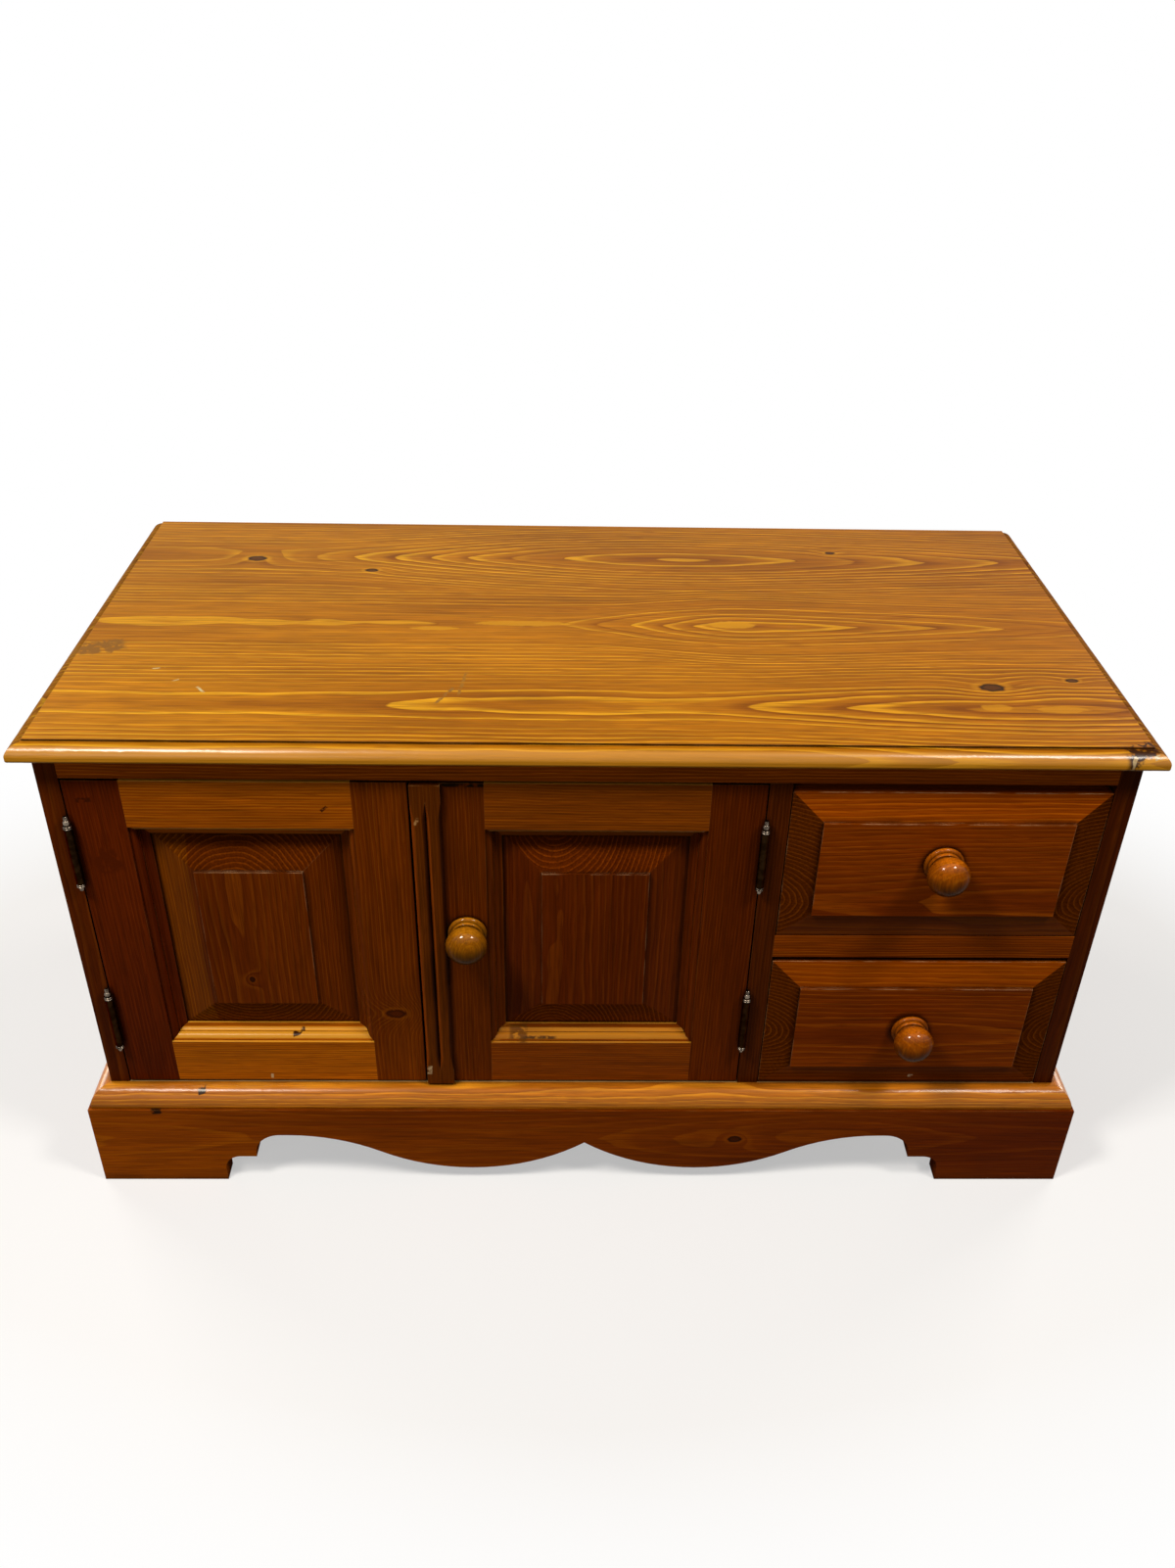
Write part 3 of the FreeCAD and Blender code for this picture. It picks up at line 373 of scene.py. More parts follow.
# The first colour below is painted shade with wax and dust, for corners and quirks.
varnish = {
    # The second colour below is a painted highlight for mouldings.
    "shadeAndGrime": (0.009, 0.0022, 0.0006), "mouldHighlighted": (0.66, 0.29, 0.02), "seamWidth": 0.002,
    "endFacing": (0.06, 0.15), "mouldFacing": (0.98, 0.85), "quirkFacing": (0.6, 0.3),
    "quirkTop": 0.8, "quirkShadeAndGrime": 0.9,  # a share of the quirk's depth, and of its painted shade and wax
    "fibreRoughness": 0.16, "bumpDistance": 0.0003,
}
oneBoard = (4.0, -2.0)  # a plank wider than any piece, and where it starts


def turnToGrain(tree, look):  # grain names the axes along, across and into the board
    place = addNode(tree, "ShaderNodeTexCoord").outputs["Object"]
    split = splitUp(tree, place)
    order = {index: split[axis.upper()] for index, axis in enumerate(look["grain"])}
    place = addNode(tree, "ShaderNodeCombineXYZ", order).outputs[0]
    if look["deep"] == 1.0:
        return place
    return timesEach(tree, place, (1.0, 1.0, look["deep"]))  # rings then sweep across a bevel


def addSpot(tree, group, node, look, vector, spot):  # shares along and across, then the group's sizes
    alongShare, acrossShare, *sizes = spot
    along = spotOn(node, look["grain"][0], alongShare)
    across = spotOn(node, look["grain"][1], acrossShare)
    return addGroup(tree, group, dict(enumerate([vector, along, across, *sizes])))


def addWood(tree, node, look, vector):  # the grain with its arches, knots and pale eyes
    stain = look["stain"]
    pithAcross, pithDepth = look["pith"]
    if not look["planks"]:
        pithAcross = spotOn(node, look["grain"][1], pithAcross)
    pithDepth += look["deep"] * spotOn(node, look["grain"][2], look["face"])
    plank, plankStart = look["planks"] or oneBoard
    light = rgba(stain, look["lightShare"])
    inputs = {
        "Vector": vector, "Pith Across": pithAcross, "Pith Depth": pithDepth, "Ring": look["ring"],
        "Wander": look["wander"], "Plank": plank, "Plank Start": plankStart, "Seed": look["seed"],
        "Line": look["line"], "Faint": look["faint"], "Fine": look["fine"],
        "Dark": rgba(stain, look["darkShare"]), "Mid": rgba(stain), "Light": light,
    }
    knots = [addSpot(tree, knotSpot, node, look, vector, knot) for knot in look["knots"]]
    eyes = [addSpot(tree, knotSpot, node, look, vector, eye[:-1]) for eye in look["eyes"]]
    bends = [addSpot(tree, arches, node, look, vector, arch) for arch in look["arches"]]
    lifts = [spot["Lift"] for spot in knots + eyes + bends]
    if lifts:
        inputs["Lift"] = addUp(tree, lifts)
    wood = addGroup(tree, pineGrain, inputs)
    colour = wood["Color"]
    for eye, settings in zip(eyes, look["eyes"]):
        colour = blendColour(tree, calc(tree, "MULTIPLY", eye["Core"], settings[-1]), colour, light)
    for knot in knots:
        collar = calc(tree, "MULTIPLY", knot["Collar"], look["collar"])
        colour = blendColour(tree, collar, colour, light)
        core, heart = rgba(stain, look["coreShare"]), rgba(stain, look["heartShare"])
        core = blendColour(tree, knot["Heart"], core, heart)
        colour = blendColour(tree, knot["Core"], colour, core)
    return wood, colour


def cutAcross(tree, look, wood, colour):  # end grain, where the rings may stand out from dark to pale
    colour = timesEach(tree, colour, look["endGrain"])
    if "endLines" not in look:
        return colour
    low, high = look["endLines"]
    return scaled(tree, colour, calc(tree, "MULTIPLY_ADD", wood["Band"], high - low, low))


def paintLightAndTone(tree, node, look, vector, colour):
    along, across = look["grain"][:2]
    if "lightFallAlong" in look:  # painted light: a board that is paler at the end nearer the light
        reach = {"Value": splitUp(tree, vector)["X"]}
        reach["From Min"] = spotOn(node, along, 0.0)
        reach["From Max"] = spotOn(node, along, 1.0)
        share = addNode(tree, "ShaderNodeMapRange", reach).outputs[0]
        first, last = look["lightFallAlong"]
        colour = timesEach(tree, colour, blendColour(tree, share, (*first, 1.0), (*last, 1.0)))
    for axis, low, high, tint in look["facingLightAndShade"]:  # painted light and shade on faces that turn along an axis, from low to high
        turn = fade(tree, facingOf(tree, axis, "Signed"), low, high)
        colour = blendColour(tree, turn, colour, timesEach(tree, colour, tint))
    if "seam" in look:  # a glued strip of another tone beside one edge
        share, tint = look["seam"]
        line = spotOn(node, across, share)
        strip = fade(tree, splitUp(tree, vector)["Y"], line + varnish["seamWidth"], line)
        colour = blendColour(tree, strip, colour, timesEach(tree, colour, tint))
    return colour


# Varnished pine for one node. pith is a share across the board, or metres from the middle of each of its
# planks, and then metres behind the face.
def varnishedPine(node, ownLook):
    look = {**pineDefaults, **ownLook}
    material = bpy.data.materials.new(node + "Pine")
    material.use_nodes = True
    tree = material.node_tree
    shader = tree.nodes["Principled BSDF"].inputs
    vector = turnToGrain(tree, look)
    wood, colour = addWood(tree, node, look, vector)
    ends = fade(tree, facingOf(tree, look["grain"][0], "Share"), *varnish["endFacing"])
    endShare = calc(tree, "MULTIPLY", ends, look["ends"])
    colour = blendColour(tree, endShare, colour, cutAcross(tree, look, wood, colour))
    colour = paintLightAndTone(tree, node, look, vector, colour)

    # Painted shade in corners, with wax and dust, from how closed in the surface is.
    corner = {"Vector": vector, "Reach": look["reach"], "Full": look["shadeAndGrimeFull"]}
    closed = addGroup(tree, cornerShadeAndGrime, corner)["Mask"]
    shadeAndGrime = calc(tree, "MULTIPLY", closed, look["shadeAndGrime"])
    colour = blendColour(tree, shadeAndGrime, colour, rgba(varnish["shadeAndGrime"]))
    coat = look["coat"]
    if "flat" in look:  # a painted highlight, and a thicker varnish, where the board is moulded
        flat = facingOf(tree, look["flat"], "Share")
        moulded = fade(tree, flat, *varnish["mouldFacing"])
        moulded = calc(tree, "MULTIPLY", moulded, calc(tree, "SUBTRACT", 1.0, ends))
        mouldHighlight = calc(tree, "MULTIPLY", moulded, look["mouldHighlight"])
        colour = blendColour(tree, mouldHighlight, colour, rgba(varnish["mouldHighlighted"]))
        coat = calc(tree, "MULTIPLY", moulded, coat)
    if "quirk" in look:  # painted shade, with some wax, in the step below the face
        height = splitUp(tree, vector)["Z"]
        face = spotOn(node, look["grain"][2], look["face"])
        quirk = fade(tree, height, face - look["quirk"], face - varnish["quirkTop"] * look["quirk"])
        quirk = calc(tree, "MULTIPLY", quirk, fade(tree, flat, *varnish["quirkFacing"]))
        quirk = calc(tree, "MULTIPLY", quirk, varnish["quirkShadeAndGrime"])
        colour = blendColour(tree, quirk, colour, rgba(varnish["shadeAndGrime"]))
    for *spot, tint in look["marks"]:
        mark = addSpot(tree, scratch, node, look, vector, spot)["Mask"]
        colour = blendColour(tree, mark, colour, rgba(tint))
    # Paler arrises: partly wear, partly a painted highlight on the edges that face up.
    edge = addGroup(tree, wornAndHighlitEdge, {"Vector": vector, "Radius": look["edge"]})["Mask"]
    edge = calc(tree, "MULTIPLY", edge, calc(tree, "SUBTRACT", 1.0, closed))
    colour = blendColour(tree, calc(tree, "MULTIPLY", edge, look["wearAndHighlight"]), colour, rgba(look["rubbedAndHighlit"]))

    roughness = calc(tree, "MULTIPLY_ADD", wood["Fibre"], varnish["fibreRoughness"], look["roughness"])
    roughness = calc(tree, "MAXIMUM", roughness, calc(tree, "MULTIPLY", ends, look["endRoughness"]))
    relief = {"Height": wood["Height"], "Strength": look["bump"], "Distance": varnish["bumpDistance"]}
    if "shine" in look:  # varnish that shows on the faces that look one way
        axis, low, high = look["shine"]
        coat = calc(tree, "MULTIPLY", fade(tree, facingOf(tree, axis, "Signed"), low, high), coat)
    feed(tree, shader["Base Color"], colour)
    feed(tree, shader["Roughness"], roughness)
    feed(tree, shader["Normal"], addNode(tree, "ShaderNodeBump", relief).outputs[0])
    feed(tree, shader["Coat Weight"], coat)
    shader["Coat Roughness"].default_value = look["coatRoughness"]
    shader["Specular IOR Level"].default_value = look["specular"]
    shader["Specular Tint"].default_value = rgba(look["sheen"])
    putOn(node, material)


# Top: three planks glued edge to edge. Each place is a share along and across the board.
topLook = {
    "stain": (0.45, 0.167, 0.0052), "lightFallAlong": ((1.02, 1.03, 1.0), (0.85, 0.74, 0.6)), "grain": "xyz",
    "planks": (0.167, -0.2435), "pith": (0.0, -0.036), "face": 1.0, "ring": 0.0062, "wander": 0.0035,
    "seed": 4.1, "line": 1.0, "faint": 0.05, "fine": 0.85, "wearAndHighlight": 0.6, "shadeAndGrime": 0.9, "reach": 0.006,
    "ends": 0.8, "flat": "z", "quirk": 0.0026, "mouldHighlight": 0.5, "coat": 0.9, "shine": ("z", 0.0, 0.45),
    "coatRoughness": 0.25, "specular": 0.03, "sheen": (1.0, 0.8, 0.5),
    # radius, stretch and swirl
    "knots": [(0.1397, 0.795, 0.0072, 0.62, 0.01), (0.268, 0.739, 0.005, 0.62, 0.006),
              (0.7735, 0.857, 0.004, 0.62, 0.005), (0.873, 0.2365, 0.0085, 0.62, 0.012),
              (0.953, 0.266, 0.0045, 0.62, 0.006)],
    # radius, stretch, swirl and how pale
    "eyes": [(0.643, 0.489, 0.0095, 0.36, 0.0, 0.8), (0.868, 0.16, 0.007, 0.41, 0.0, 0.6),
             (0.927, 0.155, 0.007, 0.27, 0.0, 0.6), (0.432, 0.487, 0.0065, 0.12, 0.0, 0.6),
             (0.346, 0.462, 0.0045, 0.17, 0.0, 0.6)],
    # half width, round tip, slope, skew, pinch and depth
    "arches": [(0.554, 0.811, 0.0835, 0.13, 0.105, -0.03, 0.08, 0.0532),
               (0.643, 0.483, 0.0835, 0.03, 0.13, -0.05, 0.25, 0.0346),
               (0.9, 0.156, 0.0835, 0.1, 0.09, 0.0, 0.1, 0.0303)],
    # length, width, turn and colour: pale flecks, an old scratch, a stain, and the knocked corner
    "marks": [(0.0964, 0.2845, 0.014, 0.0022, 0.2, (0.555, 0.459, 0.222)),
              (0.1446, 0.2033, 0.016, 0.003, -0.9, (0.555, 0.459, 0.222)),
              (0.1180, 0.238, 0.008, 0.002, 0.6, (0.518, 0.407, 0.185)),
              (0.381, 0.235, 0.05, 0.004, 1.45, (0.3, 0.13, 0.015)),
              (0.3665, 0.19, 0.04, 0.004, 1.1, (0.26, 0.12, 0.02)),
              (0.028, 0.37, 0.06, 0.03, 0.3, (0.24, 0.1, 0.012)),
              (0.975, 0.02, 0.036, 0.02, 0.4, (0.04, 0.012, 0.003)),
              (0.989, 0.008, 0.009, 0.005, 0.2, (0.5, 0.38, 0.2)),
              (0.968, 0.004, 0.006, 0.004, 0.9, (0.5, 0.36, 0.18))],
}
varnishedPine("top_board", topLook)
print("top finished")

# Carcass and plinth: rails and plinth boards with the grain lengthwise, sides and divider upright.
carcassShared = {"specular": 0.02}
carcassLooks = {
    # The front top rail's stain is paler, partly painted light against the shade under the top.
    "front_top_rail": {"stain": (0.45, 0.088, 0.003), "grain": "xzy", "pith": (-2.0, 0.02), "ring": 0.0032,
                       "wander": 0.004, "seed": 11.0},
    "drawer_rail": {"stain": (0.268, 0.049, 0.00074), "grain": "xzy", "pith": (-1.5, 0.02), "ring": 0.003,
                    "wander": 0.004, "seed": 12.0},
    "left_side": {"stain": (0.111, 0.0185, 0.00074), "grain": "zyx", "planks": (0.165, -0.22),
                  "pith": (0.0, 0.05), "ring": 0.0055, "wander": 0.014, "seed": 13.0},
    # Right side: painted shade on the faces turned to the front.
    "right_side": {"stain": (0.115, 0.0185, 0.0007), "facingLightAndShade": [("y", -0.5, -0.9, (0.58, 0.56, 0.6))],
                   "grain": "zyx", "planks": (0.165, -0.22), "pith": (0.0, -0.05), "face": 1.0,
                   "ring": 0.0055, "wander": 0.014, "seed": 14.0},
    "divider": {"stain": (0.0734, 0.0123, 0.00059), "grain": "zxy", "pith": (-5.0, 0.03), "ring": 0.0032,
                "wander": 0.005, "seed": 15.0},
    "front_plinth": {"stain": (0.244, 0.0405, 0.0006), "lightFallAlong": ((1.58, 1.98, 1.2), (0.71, 0.58, 0.3)),
                     "line": 0.35, "grain": "xzy", "pith": (0.62, 0.05), "ring": 0.005, "wander": 0.012,
                     "seed": 21.0, "knots": [(0.6547, 0.598, 0.005, 0.62, 0.006)],
                     "marks": [(0.068, 0.985, 0.012, 0.008, 0.3, (0.0222, 0.00592, 0.00148))]},
    "left_plinth": {"stain": (0.222, 0.037, 0.00111), "grain": "yzx", "pith": (0.5, 0.05), "ring": 0.005,
                    "wander": 0.012, "seed": 22.0},
    "right_plinth": {"stain": (0.18, 0.03, 0.0009), "grain": "yzx", "pith": (0.4, -0.05), "face": 1.0,
                     "ring": 0.005, "wander": 0.012, "seed": 23.0},
}
for name, look in carcassLooks.items():
    varnishedPine(name, {**carcassShared, **look})

# Base moulding.
mouldingShared = {
    "stain": (0.515, 0.155, 0.005), "pith": (-3.0, 0.02), "ring": 0.0036, "wander": 0.006, "specular": 0.12,
    "sheen": (1.0, 0.8, 0.5), "coat": 0.3, "shine": ("z", -0.1, 0.4), "coatRoughness": 0.18,
}
mouldingLooks = {
    "front_base_moulding": {"grain": "xzy", "seed": 24.0,
                            "marks": [(0.112, 0.86, 0.009, 0.005, 0.2, (0.0222, 0.00592, 0.00148))]},
    "left_base_moulding": {"grain": "yzx", "seed": 25.0},
    "right_base_moulding": {"grain": "yzx", "seed": 26.0},
}
for name, look in mouldingLooks.items():
    varnishedPine(name, {**mouldingShared, **look})
print("carcass and plinth finished")

# Doors: upright stiles, strip and panels, rails across.
stileShared = {"grain": "zxy", "wander": 0.006, "line": 0.5, "reach": 0.008, "specular": 0.02}
stileLooks = {
    "left_door_hinge_stile": {"stain": (0.116, 0.0147, 0.00059), "pith": (-1.6, 0.03), "ring": 0.0034,
                              "seed": 31.0,
                              "marks": [(0.943, 0.256, 0.016, 0.006, 1.5, (0.05, 0.007, 0.0007)),
                                        (0.757, 0.403, 0.03, 0.03, 1.2, (0.09, 0.0115, 0.0006))]},
    "left_door_meeting_stile": {"stain": (0.189, 0.0356, 0.00067), "pith": (2.2, 0.05), "ring": 0.0036,
                                "seed": 32.0,
                                "knots": [(0.251, 0.605, 0.011, 1.8, 0.018)], "collar": 0.45,
                                "coreShare": (0.25, 0.22, 0.5), "heartShare": (0.5, 0.42, 0.8)},
    # Right meeting stile: the near-black band at its top end is painted shade of the gap above the doors.
    "right_door_meeting_stile": {"stain": (0.139, 0.0248, 0.00059), "pith": (-1.8, 0.04), "ring": 0.0034,
                                 "seed": 33.0,
                                 "marks": [(0.994, 0.62, 0.005, 0.07, 0.0, (0.008, 0.0025, 0.001))]},
    "right_door_hinge_stile": {"stain": (0.126, 0.0195, 0.00037), "pith": (3.0, 0.03), "ring": 0.003,
                               "seed": 34.0},
    # Meeting strip: painted light on the faces turned left and painted shade on the faces turned right.
    "meeting_strip": {"stain": (0.114, 0.024, 0.00096), "pith": (-4.0, 0.03), "ring": 0.003, "seed": 35.0,
                      "wearAndHighlight": 0.9,
                      "facingLightAndShade": [("x", -0.1, -0.6, (2.2, 1.9, 1.2)), ("x", 0.1, 0.6, (0.3, 0.25, 0.4))],
                      "marks": [(0.892, 0.18, 0.012, 0.004, 0.2, (0.444, 0.222, 0.074)),
                                (0.053, 0.1, 0.014, 0.006, 0.1, (0.555, 0.37, 0.185))]},
}
for name, look in stileLooks.items():
    varnishedPine(name, {**stileShared, **look})
doorRailShared = {
    "grain": "xzy", "ring": 0.003, "wander": 0.005, "reach": 0.006, "specular": 0.04, "flat": "y",
    "coat": 0.2, "coatRoughness": 0.22,
}
# The left door's rails are paler than the right door's, partly their own tone and partly painted light
# falling from the left.
doorRailLooks = {
    "left_door_top_rail": {"stain": (0.397, 0.0899, 0.0015), "pith": (-1.2, 0.03), "seed": 41.0,
                           "mouldHighlight": 0.7,
                           "marks": [(0.788, 0.556, 0.009, 0.004, 0.7, (0.0444, 0.00888, 0.00148))]},
    "left_door_bottom_rail": {"stain": (0.471, 0.113, 0.0015), "pith": (2.1, 0.03), "seed": 42.0,
                              "mouldHighlight": 0.9,
                              "marks": [(0.595, 0.886, 0.014, 0.004, 0.3, (0.037, 0.00888, 0.00148)),
                                        (0.476, 0.086, 0.007, 0.003, 1.4, (0.629, 0.444, 0.222))]},
    "right_door_top_rail": {"stain": (0.215, 0.0441, 0.00089), "pith": (2.4, 0.03), "seed": 43.0,
                            "mouldHighlight": 0.5},
    "right_door_bottom_rail": {"stain": (0.255, 0.0489, 0.00074), "pith": (-1.4, 0.03), "seed": 44.0,
                               "mouldHighlight": 0.45,
                               "marks": [(0.22, 0.89, 0.022, 0.016, 0.0, (0.16, 0.05, 0.004)),
                                         (0.09, 0.89, 0.06, 0.018, 0.1, (0.34, 0.11, 0.006)),
                                         (0.3, 0.84, 0.04, 0.003, 0.0, (0.09, 0.03, 0.003))]},
}
for name, look in doorRailLooks.items():
    varnishedPine(name, {**doorRailShared, **look})
# Panels: painted light on the bevels that face down, and paler arrises that are partly a painted highlight.
panelShared = {
    "grain": "zxy", "ring": 0.0042, "wander": 0.007, "deep": 2.5, "line": 0.6, "reach": 0.007,
    "shadeAndGrimeFull": 0.26, "edge": 0.002, "wearAndHighlight": 1.0, "rubbedAndHighlit": (0.6, 0.36, 0.18), "ends": 1.0,
    "endLines": (0.88, 1.36), "specular": 0.02, "facingLightAndShade": [("z", -0.05, -0.16, (1.78, 2.2, 2.4))],
}
panelLooks = {
    "left_door_panel": {"stain": (0.15, 0.0258, 0.0006), "pith": (0.42, -0.035), "seed": 51.0,
                        "endGrain": (0.72, 0.71, 0.72), "seam": (0.2, (1.3, 1.65, 1.0)),
                        "knots": [(0.301, 0.44, 0.003, 0.8, 0.005)]},
    "right_door_panel": {"stain": (0.127, 0.0194, 0.0005), "pith": (0.3, 0.05), "seed": 57.0,
                         "endGrain": (0.94, 0.96, 0.96)},
}
for name, look in panelLooks.items():
    varnishedPine(name, {**panelShared, **look})
print("doors finished")

# Drawer fronts: grain across, end grain arcs on the end bevels, painted light on the bevels that face up
# and painted shade on those that face down, and paler arrises that are partly a painted highlight.
drawerShared = {
    "grain": "xzy", "ring": 0.0044, "wander": 0.008, "deep": 4.0, "line": 0.75, "reach": 0.007,
    "shadeAndGrimeFull": 0.22, "edge": 0.0017, "wearAndHighlight": 1.0, "rubbedAndHighlit": (0.78, 0.48, 0.24), "ends": 0.9,
    "endGrain": (0.4, 0.46, 0.6), "endLines": (0.87, 1.4), "specular": 0.02,
    "bevelTurn": (0.05, 0.16), "below": (0.8, 0.9, 0.7),
}
drawerLooks = {
    "upper_drawer_front": {"stain": (0.228, 0.0379, 0.00074), "pith": (0.25, 0.045), "seed": 61.0,
                           "above": (1.36, 1.46, 1.0)},
    "lower_drawer_front": {"stain": (0.238, 0.04, 0.0007), "pith": (0.45, 0.04), "seed": 62.0,
                           "above": (1.26, 1.38, 1.0),
                           "marks": [(0.546, 0.065, 0.006, 0.005, 0.0, (0.666, 0.555, 0.37))]},
}
for name, ownLook in drawerLooks.items():
    look = {**drawerShared, **ownLook}
    low, high = look["bevelTurn"]
    look["facingLightAndShade"] = [("z", low, high, look["above"]), ("z", -low, -high, look["below"])]
    varnishedPine(name, look)

# Knobs: turned with the grain upright, with painted shade on the face and darker painted shade below, so
# that the top stays paler like a painted highlight.
knobShared = {
    "grain": "zxy", "ring": 0.003, "wander": 0.003, "line": 0.3, "ends": 0.0, "endRoughness": 0.0,
    "roughness": 0.1, "specular": 0.03, "coat": 0.45, "shine": ("z", 0.5, 0.85), "coatRoughness": 0.06,
    "wearAndHighlight": 0.1, "reach": 0.005,
    "faceShadeTurn": (0.95, 0.64), "underTurn": (0.42, -0.1), "under": (0.5, 0.5, 0.6),
}
knobLooks = {
    "right_door_knob": {"stain": (0.4, 0.138, 0.0035), "pith": (0.7, -0.02), "seed": 71.0,
                        "front": (0.66, 0.61, 0.5)},
    "upper_drawer_knob": {"stain": (0.54, 0.136, 0.003), "pith": (0.3, 0.03), "seed": 72.0,
                          "front": (0.56, 0.52, 0.45)},
    "lower_drawer_knob": {"stain": (0.5, 0.12, 0.003), "pith": (0.6, 0.02), "seed": 73.0,
                          "front": (0.56, 0.52, 0.45)},
}
for name, ownLook in knobLooks.items():
    look = {**knobShared, **ownLook}
    look["facingLightAndShade"] = [("z", *look["faceShadeTurn"], look["front"]), ("z", *look["underTurn"], look["under"])]
    varnishedPine(name, look)
print("drawer fronts and knobs finished")

# Inside: planed deal with no stain, and plywood. Seeds step from piece to piece.
bareLook = {
    "stain": (0.5, 0.315, 0.13), "darkShare": (0.82, 0.76, 0.68), "lightShare": (1.14, 1.2, 1.25),
    "pith": (0.4, 0.06), "ring": 0.0055, "wander": 0.01, "roughness": 0.55, "wearAndHighlight": 0.2, "shadeAndGrime": 0.4,
    "bump": 0.35, "specular": 0.12, "sheen": (1.0, 1.0, 1.0), "rubbedAndHighlit": (0.45, 0.34, 0.19),
}
plyLook = {**bareLook, "stain": (0.6, 0.375, 0.155), "ring": 0.014, "line": 0.3}
bareSeeds = {"deal": 81.0, "ply": 95.0, "step": 3.0}
bareGrain = {
    "xyz": ["bottom_board", "back_top_rail"],
    "xzy": ["drawer_stops", "back_plinth_rail", "upper_drawer_back", "lower_drawer_back"],
    "yzx": ["drawer_runners", "drawer_kickers", "upper_drawer_left_side", "upper_drawer_right_side",
            "lower_drawer_left_side", "lower_drawer_right_side"],
    "zxy": ["plinth_blocks"],
}
for grain, names in bareGrain.items():
    for index, name in enumerate(names):
        seed = bareSeeds["deal"] + bareSeeds["step"] * index
        varnishedPine(name, {**bareLook, "grain": grain, "seed": seed})
plyGrain = {"back_panel": "zxy", "upper_drawer_bottom": "xyz", "lower_drawer_bottom": "xyz"}
for index, (name, grain) in enumerate(plyGrain.items()):
    seed = bareSeeds["ply"] + bareSeeds["step"] * index
    varnishedPine(name, {**plyLook, "grain": grain, "seed": seed})
print("inside finished")

# Metals and plastic: a cloudy colour with paler edges, partly wear and partly a painted highlight; on the
# finials they are painted glints.
fittingShared = {
    "spread": (0.35, 0.65), "detail": 5.0, "edge": 0.0006, "cloudRoughness": 0.25, "bump": 0.2,
    "bumpDistance": 0.0002, "sheen": (1.0, 1.0, 1.0),
}
fittings = {
    "hingeBronze": {"dark": (0.007, 0.003, 0.001), "light": (0.017, 0.008, 0.003),
                    "rubbedAndHighlit": (0.03, 0.016, 0.007), "roughness": 0.26, "sheen": (0.6, 0.36, 0.18),
                    "metallic": 1.0, "scale": 160.0},
    "finialBronze": {"dark": (0.05, 0.038, 0.028), "light": (0.2, 0.16, 0.12), "rubbedAndHighlit": (0.5, 0.44, 0.36),
                     "roughness": 0.1, "metallic": 1.0, "scale": 160.0},
    "zincSteel": {"dark": (0.42, 0.42, 0.43), "light": (0.6, 0.6, 0.61), "rubbedAndHighlit": (0.75, 0.75, 0.76),
                  "roughness": 0.3, "metallic": 1.0, "scale": 90.0},
    "catchPlastic": {"dark": (0.12, 0.055, 0.025), "light": (0.17, 0.08, 0.035),
                     "rubbedAndHighlit": (0.26, 0.14, 0.07), "roughness": 0.4, "metallic": 0.0, "scale": 120.0},
}


def fittingMaterial(name, ownLook):
    look = {**fittingShared, **ownLook}
    material = bpy.data.materials.new(name)
    material.use_nodes = True
    tree = material.node_tree
    shader = tree.nodes["Principled BSDF"].inputs
    vector = addNode(tree, "ShaderNodeTexCoord").outputs["Object"]
    cloud = clouds(tree, vector, (look["scale"], look["detail"]))
    spread = fade(tree, cloud, *look["spread"])
    colour = blendColour(tree, spread, rgba(look["dark"]), rgba(look["light"]))
    edge = addGroup(tree, wornAndHighlitEdge, {"Vector": vector, "Radius": look["edge"]})["Mask"]
    colour = blendColour(tree, edge, colour, rgba(look["rubbedAndHighlit"]))
    roughness = calc(tree, "MULTIPLY_ADD", cloud, look["cloudRoughness"], look["roughness"])
    relief = {"Height": cloud, "Strength": look["bump"], "Distance": look["bumpDistance"]}
    feed(tree, shader["Base Color"], colour)
    feed(tree, shader["Roughness"], roughness)
    feed(tree, shader["Normal"], addNode(tree, "ShaderNodeBump", relief).outputs[0])
    shader["Metallic"].default_value = look["metallic"]
    shader["Specular Tint"].default_value = rgba(look["sheen"])
    return material


fittingOf = {"dark_hinge_metal": "hingeBronze", "zinc_steel": "zincSteel", "catch_plastic": "catchPlastic"}
fittingMaterials = {name: fittingMaterial(name, look) for name, look in fittings.items()}
for part in frame["record"]["subparts"]:
    if part["material_slot"] in fittingOf:
        putOn(part["node"], fittingMaterials[fittingOf[part["material_slot"]]])
putOn("hinge_pins", fittingMaterials["finialBronze"])
print("hinges, screws and catches finished")


def seenDirectly(tree):  # 1 to the camera, in reflections and through glass, 0 as light on the object
    rays = addNode(tree, "ShaderNodeLightPath").outputs
    mirrored = calc(tree, "MAXIMUM", rays["Is Glossy Ray"], rays["Is Transmission Ray"])
    return calc(tree, "MAXIMUM", rays["Is Camera Ray"], mirrored)


# Floor: pale to the camera, with less bounce on the front, and fading to white far out.
floorLook = {"size": 30.0, "seen": (0.9, 0.9, 0.9, 1), "bounce": (0.16, 0.155, 0.15, 1), "near": 0.3,
             "far": 0.8, "narrow": (0.62, 1.0, 1.0), "glow": 0.45}
bpy.ops.object.select_all(action="DESELECT")
bpy.ops.mesh.primitive_plane_add(size=floorLook["size"], location=(0, 0, 0))
floor = bpy.context.object
floor.name = "floor"
floorMaterial = bpy.data.materials.new("paleFloor")
floorMaterial.use_nodes = True
tree = floorMaterial.node_tree
tree.nodes.clear()
seen = seenDirectly(tree)
place = addNode(tree, "ShaderNodeTexCoord").outputs["Object"]
place = timesEach(tree, place, floorLook["narrow"])
away = addNode(tree, "ShaderNodeVectorMath", {0: place}, operation="LENGTH").outputs["Value"]
floorColour = blendColour(tree, seen, floorLook["bounce"], floorLook["seen"])
diffuse = addNode(tree, "ShaderNodeBsdfDiffuse", {"Color": floorColour}).outputs[0]
glow = addNode(tree, "ShaderNodeEmission", {"Strength": seen}).outputs[0]
white = calc(tree, "MAXIMUM", fade(tree, away, floorLook["near"], floorLook["far"]), floorLook["glow"])
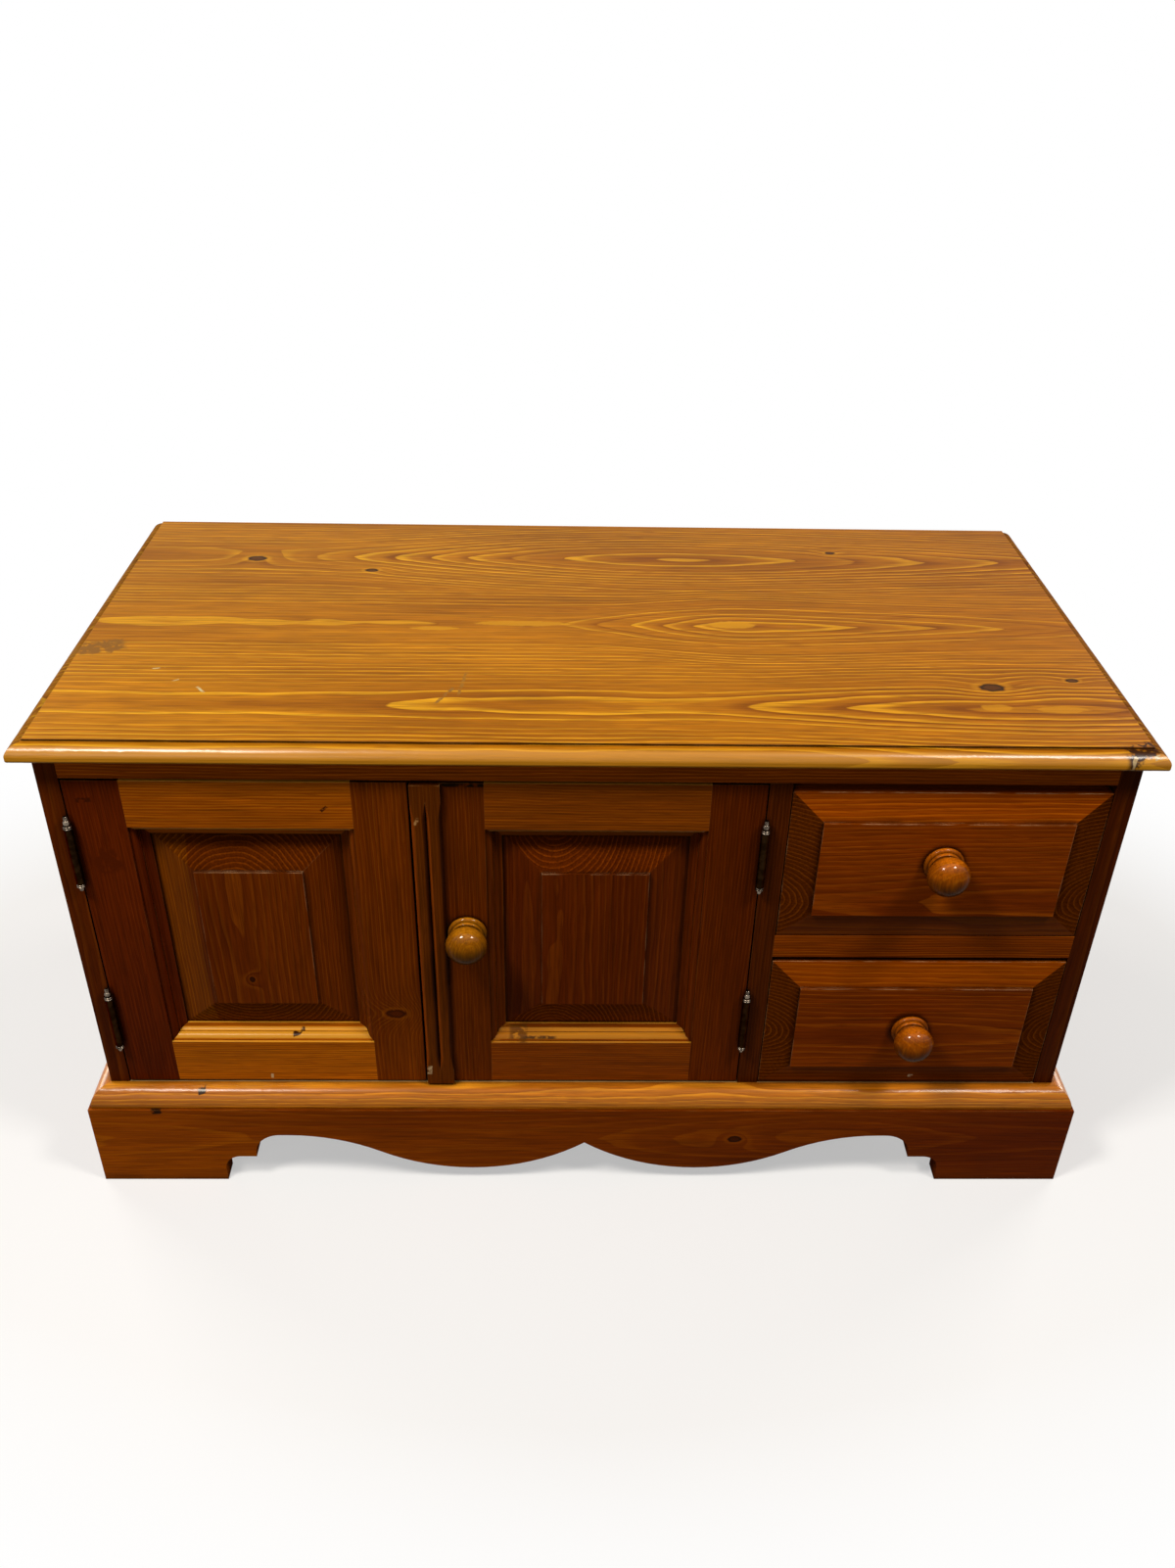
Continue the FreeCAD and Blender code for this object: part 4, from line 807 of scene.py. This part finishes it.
surface = addNode(tree, "ShaderNodeMixShader", {0: white, 1: diffuse, 2: glow}).outputs[0]
addNode(tree, "ShaderNodeOutputMaterial", {"Surface": surface})
floor.data.materials.append(floorMaterial)

# World: white to the camera, a low even light on the object.
worldLook = {"colour": (1, 1, 1, 1), "fill": 0.08, "seen": 1.0}
world = bpy.data.worlds.new("studio")
bpy.context.scene.world = world
world.use_nodes = True
tree = world.node_tree
levels = {"Value": seenDirectly(tree), "To Min": worldLook["fill"], "To Max": worldLook["seen"]}
background = tree.nodes["Background"].inputs
feed(tree, background["Strength"], addNode(tree, "ShaderNodeMapRange", levels).outputs[0])
background["Color"].default_value = worldLook["colour"]

# Lamps: two high in front, a broad weak one lower on the left, and two low ones for the sides and back.
lampColour = (1.0, 0.95, 0.88)
lampLooks = {
    "leftLamp": {"at": (-1.0, -0.95, 2.35), "aim": (0, -0.1, 0.45), "size": (0.45, 0.45), "power": 37.0},
    "rightLamp": {"at": (1.14, -0.89, 2.37), "aim": (0, -0.1, 0.45), "size": (0.45, 0.45), "power": 27.5},
    "backLeft": {"at": (-2.2, 1.7, 0.75), "aim": (0, 0, 0.3), "size": (1.4, 0.9), "power": 42.0},
    "backRight": {"at": (2.2, 1.7, 0.75), "aim": (0, 0, 0.3), "size": (1.4, 0.9), "power": 42.0},
    "frontFill": {"at": (-1.3, -2.4, 1.3), "aim": (0, -0.2, 0.35), "size": (1.6, 1.0), "power": 7.0},
}
for name, look in lampLooks.items():
    data = bpy.data.lights.new(name, "AREA")
    data.shape = "RECTANGLE"
    data.size, data.size_y = look["size"]
    data.energy = look["power"]
    data.color = lampColour
    lamp = bpy.data.objects.new(name, data)
    bpy.context.scene.collection.objects.link(lamp)
    lamp.location = look["at"]
    lamp.rotation_euler = (Vector(look["aim"]) - Vector(look["at"])).to_track_quat("-Z", "Y").to_euler()

# Camera where the picture was taken from, with its angles in degrees.
cameraLook = {"at": (-0.0317, -1.2271, 1.1655), "down": 33.31, "turn": -1.56, "roll": 1.25, "lens": 30.42,
              "sensor": 36.0}
cameraData = bpy.data.cameras.new("camera")
cameraData.lens = cameraLook["lens"]
cameraData.sensor_width = cameraLook["sensor"]
camera = bpy.data.objects.new("camera", cameraData)
bpy.context.scene.collection.objects.link(camera)
turned = Matrix.Rotation(math.radians(cameraLook["turn"]), 4, "Z")
turned = turned @ Matrix.Rotation(math.radians(90 - cameraLook["down"]), 4, "X")
turned = turned @ Matrix.Rotation(math.radians(cameraLook["roll"]), 4, "Z")
camera.rotation_euler = turned.to_euler()
camera.location = cameraLook["at"]
bpy.context.scene.camera = camera
bpy.context.scene.view_settings.view_transform = "Standard"
print("floor, light and camera set")
